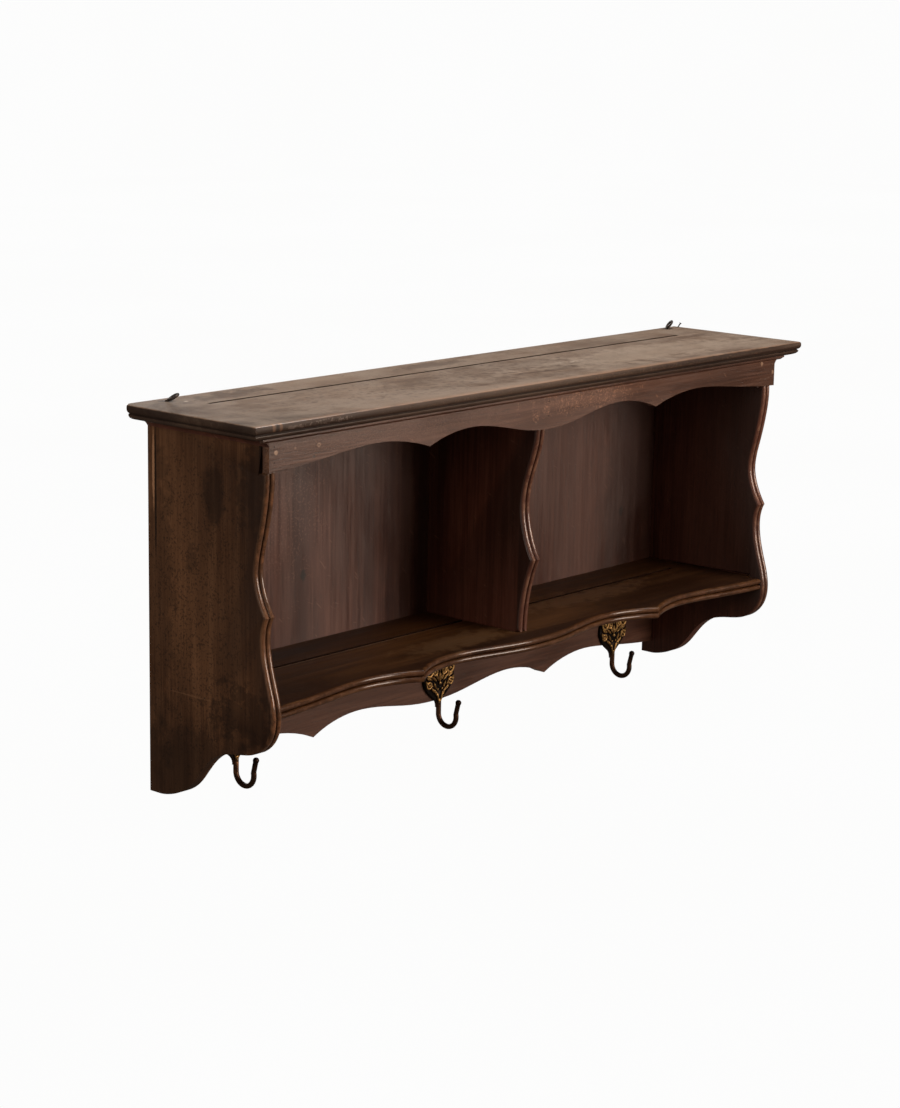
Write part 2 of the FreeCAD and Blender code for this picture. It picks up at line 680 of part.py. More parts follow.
def build(doc):
    """Makes every sub-part and gives them back as a list."""
    size = fill_sheet(doc)
    place = work_out(size)

    into_wall = Rotation(Vector(1, 0, 0), -90)
    out_of_wall = Rotation(Vector(1, 0, 0), 90)
    rightward = Rotation(Vector(0, 1, 0), 90)
    leftward = Rotation(Vector(0, 1, 0), -90)

    frieze_nails = make_nails(doc, "frieze_nails", frieze_nail_heads(size, place), into_wall, "28")
    left_nails = make_nails(doc, "left_side_nails", side_nail_heads(size, place, -1), rightward, "38")
    right_nails = make_nails(doc, "right_side_nails", side_nail_heads(size, place, 1), leftward, "38")
    back_nails = make_nails(doc, "back_panel_nails", back_nail_heads(size, place), out_of_wall, "22")

    half_top = size.overall_length / 2
    left_eye = make_screw_eye(doc, size, "screw_eye_left", size.eye_left_margin - half_top,
                              -18.0, 4.5, 60.0, 50.0)
    right_eye = make_screw_eye(doc, size, "screw_eye_right", half_top - size.eye_right_margin,
                               -9.0, 1.5, 38.0, 50.0)
    bent_nail = make_bent_nail(doc, size)

    names = ("left", "middle", "right")
    screws = []
    for middle in place.hook_xs:
        for up in (size.hook_axis_height - 19.0, size.hook_axis_height + 18.0):
            screws.append(make_hook_screw(doc, size, place, len(screws) + 1, middle, up))
    hook_screws = add_group(doc, "hook_screws", screws)
    hooks = []
    for index, name in enumerate(names):
        blank = make_hook(doc, size, place, f"hook_{name}", place.hook_xs[index])
        hooks.append(add_drilled(doc, f"hook_{name}", blank, screws[2 * index:2 * index + 2]))

    shelf_blank = make_shelf(doc, size, place)
    parts = [
        add_drilled(doc, "top_board", make_top_board(doc, size), [left_eye, right_eye, bent_nail]),
        add_drilled(doc, "left_side", make_side(doc, size, place, "left_side", -1),
                    [frieze_nails, left_nails, back_nails]),
        add_drilled(doc, "right_side", make_side(doc, size, place, "right_side", 1),
                    [frieze_nails, right_nails, back_nails]),
        add_drilled(doc, "centre_divider", make_divider(doc, size, place), [frieze_nails, back_nails]),
        add_drilled(doc, "bottom_shelf", shelf_blank, [left_nails, right_nails, back_nails]),
        add_drilled(doc, "frieze", make_frieze(doc, size, place), [frieze_nails]),
        add_drilled(doc, "hook_rail", make_rail(doc, size, place), [left_nails, right_nails, hook_screws]),
        make_side_bed(doc, size, place, "left_bed_moulding", -1),
        make_side_bed(doc, size, place, "right_bed_moulding", 1),
        make_front_bed(doc, size, place),
        make_glue_blocks(doc, size, place),
        make_rail_blocks(doc, size, place),
    ]
    for label, hand in (("back_panel_left", -1), ("back_panel_right", 1)):
        blank = make_back_panel(doc, size, place, label, hand)
        parts.append(add_drilled(doc, label, blank, [back_nails]))
    parts += hooks
    parts += [hook_screws, left_eye, right_eye, bent_nail, frieze_nails, left_nails, right_nails, back_nails]
    doc.recompute()
    return parts


def check(doc, parts):
    """Stops on a failed feature, an empty or invalid shape, or a cut that removed nothing."""
    for feature in doc.Objects:
        if {"Invalid", "Error"} & set(feature.State):
            raise RuntimeError(f"{feature.Label} failed: {feature.State}")
        if feature.TypeId == "PartDesign::Pocket":
            removed = feature.BaseFeature.Shape.Volume - feature.Shape.Volume
            if removed < 1.0:
                raise RuntimeError(f"{feature.Label} removed nothing")
    for part in parts:
        if part.Shape.isNull() or not part.Shape.isValid():
            raise RuntimeError(f"{part.Label} has no valid shape")


def main():
    doc = FreeCAD.newDocument("wall_shelf")
    parts = build(doc)
    check(doc, parts)
    os.makedirs("parts", exist_ok=True)
    for part in parts:
        part.Shape.exportStep(f"parts/{part.Label}.step")
        print(part.Label, len(part.Shape.Solids), round(part.Shape.Volume / 1000.0, 2), "cm3")


main()
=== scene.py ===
"""Looks of a hanging wall shelf with coat hooks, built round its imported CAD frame.

The frame is in metres: X runs along the wall, Y into the wall, Z up. The origin is on the wall,
midway along the piece and level with the surface of the lower shelf.
"""

import json
import logging
import math
from collections.abc import Callable, Iterable, Sequence
from dataclasses import dataclass, replace
from enum import Enum

import bpy
from mathutils import Matrix, Vector

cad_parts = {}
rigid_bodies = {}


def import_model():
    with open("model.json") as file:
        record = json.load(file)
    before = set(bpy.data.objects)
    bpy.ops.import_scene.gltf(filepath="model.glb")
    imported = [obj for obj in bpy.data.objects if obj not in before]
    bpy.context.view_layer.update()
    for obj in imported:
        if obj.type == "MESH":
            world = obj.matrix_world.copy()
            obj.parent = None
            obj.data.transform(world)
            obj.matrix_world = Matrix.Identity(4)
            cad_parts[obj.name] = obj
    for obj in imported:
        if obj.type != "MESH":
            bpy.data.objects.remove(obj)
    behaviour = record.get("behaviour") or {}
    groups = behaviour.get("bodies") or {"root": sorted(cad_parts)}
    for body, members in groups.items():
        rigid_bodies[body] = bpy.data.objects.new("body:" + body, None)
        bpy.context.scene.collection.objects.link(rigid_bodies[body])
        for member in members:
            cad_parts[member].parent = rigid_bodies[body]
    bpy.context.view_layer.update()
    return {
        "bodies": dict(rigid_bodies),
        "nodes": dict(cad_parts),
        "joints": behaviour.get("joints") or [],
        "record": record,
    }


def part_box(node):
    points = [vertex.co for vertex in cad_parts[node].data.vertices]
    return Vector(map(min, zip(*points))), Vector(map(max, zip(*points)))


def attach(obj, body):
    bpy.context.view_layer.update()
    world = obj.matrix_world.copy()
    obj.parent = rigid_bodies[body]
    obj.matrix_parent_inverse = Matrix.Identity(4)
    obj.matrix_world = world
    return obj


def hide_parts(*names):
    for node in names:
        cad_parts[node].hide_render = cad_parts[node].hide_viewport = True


log = logging.getLogger("wall_shelf")

MM = 0.001
GROOVE_LIP = 0.3 * MM
Socket = bpy.types.NodeSocket
Piece = bpy.types.Object
Material = bpy.types.Material
Colour = tuple[float, float, float]
Point = tuple[float, float, float]
Where = Callable[[Vector], bool]


def ease(value: float, low: float, high: float) -> float:
    """0 at the low end, 1 at the high end, and smooth between them."""
    share = min(1.0, max(0.0, (value - low) / (high - low)))
    return share * share * (3.0 - 2.0 * share)


class Axis(Enum):
    """A direction of the row frame."""

    X = 0
    Y = 1
    Z = 2

    def vector(self, along: float, others: float = 0.0) -> Point:
        """One number along this direction and another along the other two."""
        return tuple(along if index == self.value else others for index in range(3))


# ---- bench work


class Bench:
    """Work on one mesh at a time with Blender's own modelling tools."""

    @staticmethod
    def edit() -> None:
        """Opens the active piece for editing."""
        bpy.ops.object.mode_set(mode="EDIT")

    @staticmethod
    def leave() -> None:
        """Leaves edit mode."""
        bpy.ops.object.mode_set(mode="OBJECT")

    @staticmethod
    def pick_none(kind: str) -> None:
        """Empties the selection of one kind, and leaves edit mode."""
        bpy.ops.mesh.select_mode(type=kind)
        bpy.ops.mesh.select_all(action="DESELECT")
        Bench.leave()

    @staticmethod
    def clear() -> None:
        """Leaves edit mode and deselects everything."""
        if bpy.context.object and bpy.context.object.mode != "OBJECT":
            Bench.leave()
        bpy.ops.object.select_all(action="DESELECT")

    @staticmethod
    def take(piece: Piece) -> None:
        """Makes one piece the only selected and the active one."""
        Bench.clear()
        piece.select_set(True)
        bpy.context.view_layer.objects.active = piece

    @staticmethod
    def made(name: str) -> Piece:
        """Names the primitive that was just added."""
        piece = bpy.context.object
        piece.name = name
        piece.data.name = name
        return piece

    @staticmethod
    def copy_of(node: Piece, name: str) -> Piece:
        """Copies a CAD node's mesh as the blank for a finished piece, merged and with clean flats.

        Args:
            node: The CAD node.
            name: The new piece's name.

        Returns:
            The new piece, at the world's origin.
        """
        piece = bpy.data.objects.new(name, node.data.copy())
        piece.data.name = name
        piece.data.materials.clear()
        bpy.context.scene.collection.objects.link(piece)
        Bench.take(piece)
        Bench.edit()
        bpy.ops.mesh.select_all(action="SELECT")
        bpy.ops.mesh.remove_doubles(threshold=0.002 * MM)
        bpy.ops.mesh.customdata_custom_splitnormals_clear()
        bpy.ops.mesh.dissolve_limited(angle_limit=math.radians(0.15))
        Bench.leave()
        return piece

    @staticmethod
    def pick_faces(piece: Piece, where: Callable[[Vector, Vector], bool]) -> None:
        """Selects the faces whose centre and normal pass the test, in face mode.

        Args:
            piece: The piece, in object mode.
            where: Takes a face's centre and normal.
        """
        Bench.take(piece)
        Bench.edit()
        Bench.pick_none("FACE")
        for face in piece.data.polygons:
            face.select = where(face.center, face.normal)
        Bench.edit()

    @staticmethod
    def marks(piece: Piece, *names: str) -> list[bpy.types.bpy_prop_collection]:
        """Adds numbers to the vertices, for the finish to read."""
        for name in names:
            piece.data.attributes.new(name, "FLOAT", "POINT")
        return [piece.data.attributes[name].data for name in names]

    @staticmethod
    def box(node: str) -> tuple[Vector, Vector]:
        """A CAD node's low and high corners."""
        low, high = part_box(node)
        return Vector(low), Vector(high)

    @staticmethod
    def soften(piece: Piece, width: float, where: Where, steps: int = 2) -> None:
        """Rounds the sharp arrises of a piece.

        Args:
            piece: The piece, in object mode.
            width: The width of the rounding.
            where: Takes an edge's middle.
            steps: Segments across the rounding.
        """
        mesh = piece.data
        turn: dict[tuple[int, int], list[Vector]] = {}
        for face in mesh.polygons:
            for key in face.edge_keys:
                turn.setdefault(key, []).append(face.normal.copy())
        Bench.take(piece)
        Bench.edit()
        Bench.pick_none("EDGE")
        for edge in mesh.edges:
            normals = turn.get(edge.key, [])
            if len(normals) != 2 or normals[0].dot(normals[1]) > 0.64:
                continue
            ends = [mesh.vertices[index].co for index in edge.vertices]
            edge.select = where((ends[0] + ends[1]) / 2)
        Bench.edit()
        bpy.ops.mesh.bevel(offset=width, segments=steps, affect="EDGES", clamp_overlap=True)
        Bench.leave()

    @staticmethod
    def slice_along(piece: Piece, axis: Axis, places: Iterable[float],
                    where: Callable[[Vector, Vector], bool]) -> None:
        """Cuts loops across some faces of a piece at the given places.

        Args:
            piece: The piece, in object mode.
            axis: The direction the places are measured along.
            places: Where to cut.
            where: Takes a face's centre and normal.
        """
        for place in places:
            Bench.pick_faces(piece, where)
            bpy.ops.mesh.bisect(plane_co=axis.vector(place), plane_no=axis.vector(1.0))
            Bench.leave()

    @staticmethod
    def apply(piece: Piece, kind: str, **settings: object) -> None:
        """Adds a modifier, sets it and applies it.

        Args:
            piece: The piece.
            kind: The modifier's type.
            **settings: Its properties.
        """
        Bench.take(piece)
        modifier = piece.modifiers.new(kind.lower(), kind)
        for name, value in settings.items():
            setattr(modifier, name, value)
        bpy.ops.object.modifier_apply(modifier=modifier.name)

    @staticmethod
    def join(pieces: Sequence[Piece], name: str) -> Piece:
        """Joins several meshes into one piece.

        Args:
            pieces: The meshes; the first keeps its object.
            name: The joined piece's name.

        Returns:
            The joined piece.
        """
        Bench.take(pieces[0])
        for piece in pieces[1:]:
            piece.select_set(True)
        bpy.ops.object.join()
        return Bench.made(name)

    @staticmethod
    def settle(piece: Piece) -> None:
        """Puts a piece's place, turn and size into its mesh."""
        Bench.take(piece)
        bpy.ops.object.transform_apply(location=True, rotation=True, scale=True)

    @staticmethod
    def smooth(piece: Piece, angle: float = 24.0, flats: bool = False) -> None:
        """Shades a piece smooth across all but its sharp edges.

        Args:
            piece: The piece.
            angle: The sharpest edge that is still shaded smooth, in degrees.
            flats: Whether the large flats set the shading next to them.
        """
        Bench.take(piece)
        bpy.ops.object.shade_smooth_by_angle(angle=math.radians(angle))
        if flats:
            Bench.apply(piece, "WEIGHTED_NORMAL", keep_sharp=True, weight=100)

    @staticmethod
    def hand_over(piece: Piece, material: Material, slot: str, *nodes: str) -> None:
        """Dresses a finished piece and sets it on the frame.

        Args:
            piece: The piece.
            material: Its finish.
            slot: The record's material slot; not used.
            *nodes: The CAD nodes it stands for.
        """
        Bench.take(piece)
        piece.data.materials.clear()
        piece.data.materials.append(material)
        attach(piece, "root")
        if nodes:
            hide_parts(*nodes)
        log.info("%s: %d faces", piece.name, len(piece.data.polygons))


# ---- node work


class Paint:
    """Builds a material's nodes one call at a time."""

    def __init__(self, name: str) -> None:
        """Starts an empty material.

        Args:
            name: The material's name.
        """
        self.material = bpy.data.materials.new(name)
        self.material.use_nodes = True
        self.nodes = self.material.node_tree.nodes
        self.links = self.material.node_tree.links
        self.shader = self.nodes["Principled BSDF"]
        self.coords = self.nodes.new("ShaderNodeTexCoord").outputs["Object"]

    def put(self, socket: Socket, value: object) -> None:
        """Links an output to a socket, or sets the socket's own value."""
        if isinstance(value, Socket):
            self.links.new(value, socket)
        elif isinstance(value, tuple) and len(value) == 3 and socket.type == "RGBA":
            socket.default_value = (*value, 1.0)
        else:
            socket.default_value = value

    def math(self, operation: str, first: object, second: object = 0.0, clamp: bool = False) -> Socket:
        """One arithmetic step.

        Args:
            operation: The Math node's operation.
            first: The first value.
            second: The second value.
            clamp: Whether the result stays between 0 and 1.

        Returns:
            The result.
        """
        node = self.nodes.new("ShaderNodeMath")
        node.operation = operation
        node.use_clamp = clamp
        self.put(node.inputs[0], first)
        self.put(node.inputs[1], second)
        return node.outputs[0]

    def times(self, first: object, second: object) -> Socket:
        """The product of two values."""
        return self.math("MULTIPLY", first, second)

    def stretch(self, scale: Point, turn: Point = (0.0, 0.0, 0.0),
                shift: Point = (0.0, 0.0, 0.0),
                vector: Socket | None = None) -> Socket:
        """Scaled, turned and shifted coordinates.

        Args:
            scale: Along each axis.
            turn: In degrees.
            shift: Along each axis.
            vector: What to start from, the object's own coordinates unless given.

        Returns:
            The new coordinates.
        """
        node = self.nodes.new("ShaderNodeMapping")
        self.put(node.inputs["Vector"], vector or self.coords)
        node.inputs["Scale"].default_value = scale
        node.inputs["Rotation"].default_value = [math.radians(angle) for angle in turn]
        node.inputs["Location"].default_value = shift
        return node.outputs[0]

    def noise(self, vector: Socket, scale: float, detail: float = 3.0,
              rough: float = 0.55, wander: float = 0.0) -> Socket:
        """A noise field.

        Args:
            vector: The coordinates.
            scale: Features per metre, about.
            detail: Octaves.
            rough: How strong the finer octaves are.
            wander: Distortion.

        Returns:
            The noise, mostly between 0.3 and 0.7.
        """
        node = self.nodes.new("ShaderNodeTexNoise")
        self.put(node.inputs["Vector"], vector)
        node.inputs["Scale"].default_value = scale
        node.inputs["Detail"].default_value = detail
        node.inputs["Roughness"].default_value = rough
        node.inputs["Distortion"].default_value = wander
        return node.outputs["Fac"]

    def span(self, value: object, low: float, high: float, start: float = 0.0,
             end: float = 1.0) -> Socket:
        """Maps a range smoothly onto another.

        Args:
            value: The value.
            low: The input's low end.
            high: The input's high end.
            start: The output at the low end.
            end: The output at the high end.

        Returns:
            The mapped value.
        """
        node = self.nodes.new("ShaderNodeMapRange")
        node.interpolation_type = "SMOOTHSTEP"
        self.put(node.inputs["Value"], value)
        for name, number in (("From Min", low), ("From Max", high), ("To Min", start), ("To Max", end)):
            node.inputs[name].default_value = number
        return node.outputs[0]

    def blend(self, share: object, under: object, over: object) -> Socket:
        """Lays one colour over another.

        Args:
            share: How much of the upper colour shows.
            under: The lower colour.
            over: The upper colour.

        Returns:
            The mixed colour.
        """
        node = self.nodes.new("ShaderNodeMix")
        node.data_type = "RGBA"
        node.clamp_factor = True
        self.put(node.inputs[0], share)
        self.put(node.inputs[6], under)
        self.put(node.inputs[7], over)
        return node.outputs[2]

    def ramp(self, value: Socket, stops: Sequence[tuple[float, Colour]]) -> Socket:
        """Turns a value into a colour.

        Args:
            value: The value.
            stops: Places and colours, in order.

        Returns:
            The colour.
        """
        node = self.nodes.new("ShaderNodeValToRGB")
        self.put(node.inputs[0], value)
        elements = node.color_ramp.elements
        for index, (place, colour) in enumerate(stops):
            element = elements[index] if index < 2 else elements.new(place)
            element.position = place
            element.color = (*colour, 1.0)
        return node.outputs[0]

    def split(self, vector: Socket) -> list[Socket]:
        """The three coordinates one by one."""
        node = self.nodes.new("ShaderNodeSeparateXYZ")
        self.put(node.inputs[0], vector)
        return list(node.outputs)

    def attribute(self, name: str) -> Socket:
        """A number kept on the mesh."""
        node = self.nodes.new("ShaderNodeAttribute")
        node.attribute_name = name
        return node.outputs["Fac"]

    def bump(self, height: Socket, depth: float, strength: float, under: Socket | None = None) -> Socket:
        """Relief from a height field.

        Args:
            height: The field.
            depth: Its depth in metres.
            strength: How strongly it shows.
            under: Another relief to build on.

        Returns:
            The bent normal.
        """
        node = self.nodes.new("ShaderNodeBump")
        self.put(node.inputs["Height"], height)
        node.inputs["Distance"].default_value = depth
        node.inputs["Strength"].default_value = strength
        if under is not None:
            self.put(node.inputs["Normal"], under)
        return node.outputs[0]

    def patch(self, centre: Point, radii: Point, ragged: float = 0.35) -> Socket:
        """A ragged oval that is 1 in the middle and 0 outside.

        Args:
            centre: Its middle.
            radii: Its half sizes.
            ragged: How far its edge wanders, as a share of its size.

        Returns:
            The mask.
        """
        scale = tuple(1.0 / radius for radius in radii)
        shift = tuple(-place / radius for place, radius in zip(centre, radii))
        local = self.stretch(scale, shift=shift)
        node = self.nodes.new("ShaderNodeVectorMath")
        node.operation = "LENGTH"
        self.put(node.inputs[0], local)
        wander = self.noise(self.coords, 1.6 / max(radii) + 40.0, 4.0, 0.7)
        offset = self.times(self.math("SUBTRACT", wander, 0.5), ragged * 4.0)
        return self.span(self.math("ADD", node.outputs["Value"], offset), 1.05, 0.55)


@dataclass(frozen=True)
class Patch:
    """A stain, knot, scuff or repair at one place of a board."""

    centre: Point
    radii: Point
    colour: Colour
    strength: float = 0.6
    ragged: float = 0.35
    speckle: float = 0.0


def on_face(axis: Axis, level: float, reach: float, *rows: tuple) -> tuple[Patch, ...]:
    """Patches on one flat face of a board.

    Args:
        axis: The direction the face looks along.
        level: The face's place on it.
        reach: The patches' half size along it.
        *rows: Each patch's place and half sizes in the face, and its other values.

    Returns:
        The patches.
    """
    def full(flat: Sequence[float], value: float) -> Point:
        return (*flat[:axis.value], value, *flat[axis.value:])

    return tuple(Patch(full(place, level), full(half, reach), *rest) for place, half, *rest in rows)


@dataclass(frozen=True)
class OldWood:
    """Old stained and varnished wood, with grain, wear, grime, and painted shade in its hollows and
    grooves.
    """

    name: str
    grain: Axis
    deep: Colour
    middle: Colour
    pale: Colour
    worn: Colour
    # Dark colour for grime in pores and mottle, and for painted shade in hollows, quirks and grooves.
    grime_and_shade: Colour = (0.012, 0.005, 0.003)
    figure: float = 9.0
    fibre: float = 260.0
    mottle: float = 5.0
    mottle_strength: float = 0.45
    pores: float = 0.5
    scratches: float = 0.25
    roughness: float = 0.42
    shine: float = 0.3
    polish: float = 1.0
    relief: float = 0.5
    dust: Colour = (0.25, 0.21, 0.17)
    dust_strength: float = 0.0
    dust_level: float = 0.3478
    patches: tuple[Patch, ...] = ()

    def lengthwise(self, along: float) -> Point:
        """Scales that draw a pattern out along the grain."""
        return self.grain.vector(along, 1.0)

    def material(self) -> Material:
        """Builds the finish.

        Returns:
            The material.
        """
        paint = Paint(self.name)
        wander = paint.noise(paint.stretch(self.lengthwise(0.35)), 6.0, 2.0)
        figure = paint.noise(paint.stretch(self.lengthwise(0.10)), self.figure * 2.2, 4.0, 0.6, 0.6)
        bands = paint.noise(paint.stretch(self.lengthwise(0.035)), self.figure * 7.0, 4.0, 0.65, 0.25)
        fibre = paint.noise(paint.stretch(self.lengthwise(0.03)), self.fibre, 5.0, 0.7)
        grain = paint.math("ADD", paint.times(bands, 0.45), paint.times(fibre, 0.55))
        colour = paint.ramp(paint.span(grain, 0.39, 0.61),
                            [(0.0, self.deep), (0.55, self.middle), (1.0, self.pale)])
        colour = paint.blend(paint.span(figure, 0.35, 0.7, 0.0, 0.55), colour, self.deep)
        mottle = paint.noise(paint.stretch(self.lengthwise(0.5)), self.mottle, 4.0, 0.62, 0.4)
        colour = paint.blend(paint.span(mottle, 0.40, 0.66, 0.0, self.mottle_strength), colour,
                             self.pale)
        colour = paint.blend(paint.span(wander, 0.55, 0.36, 0.0, self.mottle_strength), colour,
                             self.grime_and_shade)
        if self.dust_strength > 0.0:
            dust = paint.noise(paint.coords, 14.0, 6.0, 0.7, 0.3)
            up = paint.span(paint.split(paint.coords)[2], self.dust_level - 0.0012, self.dust_level)
            share = paint.times(up, paint.span(dust, 0.36, 0.62, 0.15, self.dust_strength))
            colour = paint.blend(share, colour, self.dust)
        pore = paint.noise(paint.stretch(self.lengthwise(0.045)), 900.0, 2.0, 0.6)
        pits = paint.span(pore, 0.60, 0.68)
        colour = paint.blend(paint.times(pits, self.pores), colour, self.grime_and_shade)
        colour, marks = self.scratch(paint, colour)
        for patch in self.patches:
            mask = paint.patch(patch.centre, patch.radii, patch.ragged)
            if patch.speckle > 0.0:
                specks = paint.noise(paint.coords, patch.speckle, 2.0, 0.6)
                mask = paint.times(mask, paint.span(specks, 0.54, 0.62))
            colour = paint.blend(paint.times(mask, patch.strength), colour, patch.colour)
        colour = self.wear(paint, colour)
        rough = paint.math("ADD", paint.span(mottle, 0.35, 0.65, -0.07, 0.09),
                           paint.span(fibre, 0.3, 0.7, self.roughness - 0.03, self.roughness + 0.05))
        rough = paint.math("SUBTRACT", rough, paint.times(paint.attribute("crest"), 0.12))
        shader = paint.shader
        paint.put(shader.inputs["Base Color"], colour)
        paint.put(shader.inputs["Roughness"], rough)
        shader.inputs["Specular IOR Level"].default_value = self.shine
        paint.put(shader.inputs["Coat Weight"], paint.times(paint.attribute("crest"), self.polish))
        shader.inputs["Coat Roughness"].default_value = 0.17
        relief = paint.bump(fibre, 0.0005, self.relief * 0.6)
        relief = paint.bump(paint.math("SUBTRACT", 1.0, pits), 0.0003, self.relief * 0.5, relief)
        relief = paint.bump(wander, 0.004, self.relief * 0.25, relief)
        relief = paint.bump(paint.math("SUBTRACT", 1.0, marks), 0.0003, self.relief * 0.5, relief)
        paint.put(shader.inputs["Normal"], relief)
        return paint.material

    def scratch(self, paint: Paint, colour: Socket
                ) -> tuple[Socket, Socket]:
        """Fine crossing scratches in the varnish.

        Args:
            paint: The material being built.
            colour: The colour so far.

        Returns:
            The colour with scratches, and their mask.
        """
        masks = []
        for turn, scale in (((35.0, 20.0, 48.0), 46.0), ((-50.0, 65.0, -25.0), 60.0)):
            turned = paint.stretch((1.0, 1.0, 1.0), turn)
            drawn = paint.stretch((1.0, 0.12, 0.12), vector=turned)
            line = paint.noise(drawn, scale * 8.0, 1.0, 0.4)
            gate = paint.noise(turned, 22.0, 2.0)
            thin = paint.span(line, 0.71, 0.76)
            masks.append(paint.times(thin, paint.span(gate, 0.5, 0.62)))
        marks = paint.math("MAXIMUM", masks[0], masks[1])
        return paint.blend(paint.times(marks, self.scratches), colour, self.worn), marks

    def wear(self, paint: Paint, colour: Socket) -> Socket:
        """Rubbed crests, and grime with painted shade in the hollows, from the numbers kept on the mesh.

        Args:
            paint: The material being built.
            colour: The colour so far.

        Returns:
            The worn colour.
        """
        crest = paint.attribute("crest")
        hollow = paint.attribute("hollow")
        broken = paint.noise(paint.coords, 70.0, 5.0, 0.7, 0.4)
        rubbed = paint.times(crest, paint.span(broken, 0.42, 0.66, 0.08, 0.62))
        colour = paint.blend(rubbed, colour, self.worn)
        # Painted shade: hollows, quirks and grooves are darkened towards the dark colour, along with
        # grime.
        return paint.blend(paint.math("MULTIPLY", hollow, 0.85, clamp=True), colour, self.grime_and_shade)


@dataclass(frozen=True)
class OldMetal:
    """Patinated metal, bright where it is rubbed."""

    name: str
    dark: Colour
    bright: Colour
    rubbed: float = 0.5
    metallic: float = 0.85
    roughness: float = 0.42
    grain: float = 420.0
    stem: Colour = (0.110, 0.055, 0.032)
    bare: Colour = (0.62, 0.33, 0.17)
    polish: float = 0.0

    def material(self) -> Material:
        """Builds the finish.

        Returns:
            The material.
        """
        paint = Paint(self.name)
        speckle = paint.noise(paint.coords, self.grain, 5.0, 0.65)
        cloud = paint.noise(paint.coords, 60.0, 4.0, 0.6, 0.5)
        crest = paint.attribute("crest")
        share = paint.times(paint.span(speckle, 0.4, 0.62, 0.35, 1.0), crest)
        share = paint.math("ADD", share, paint.span(cloud, 0.58, 0.75, 0.0, self.rubbed), clamp=True)
        colour = paint.blend(share, self.dark, self.bright)
        stem = paint.attribute("stem")
        colour = paint.blend(paint.times(stem, 0.85), colour, self.stem)
        bare = paint.times(paint.span(stem, 0.6, 0.95), paint.span(cloud, 0.42, 0.60, 0.0, self.polish))
        colour = paint.blend(bare, colour, self.bare)
        hollow = paint.attribute("hollow")
        colour = paint.blend(paint.times(hollow, 0.9), colour, (0.006, 0.005, 0.004))
        shader = paint.shader
        paint.put(shader.inputs["Base Color"], colour)
        paint.put(shader.inputs["Roughness"],
                  paint.span(speckle, 0.35, 0.65, self.roughness - 0.1, self.roughness + 0.14))
        shader.inputs["Metallic"].default_value = self.metallic
        relief = paint.bump(speckle, 0.0004, 0.5)
        paint.put(shader.inputs["Normal"], paint.bump(cloud, 0.001, 0.3, relief))
        return paint.material


# ---- studio


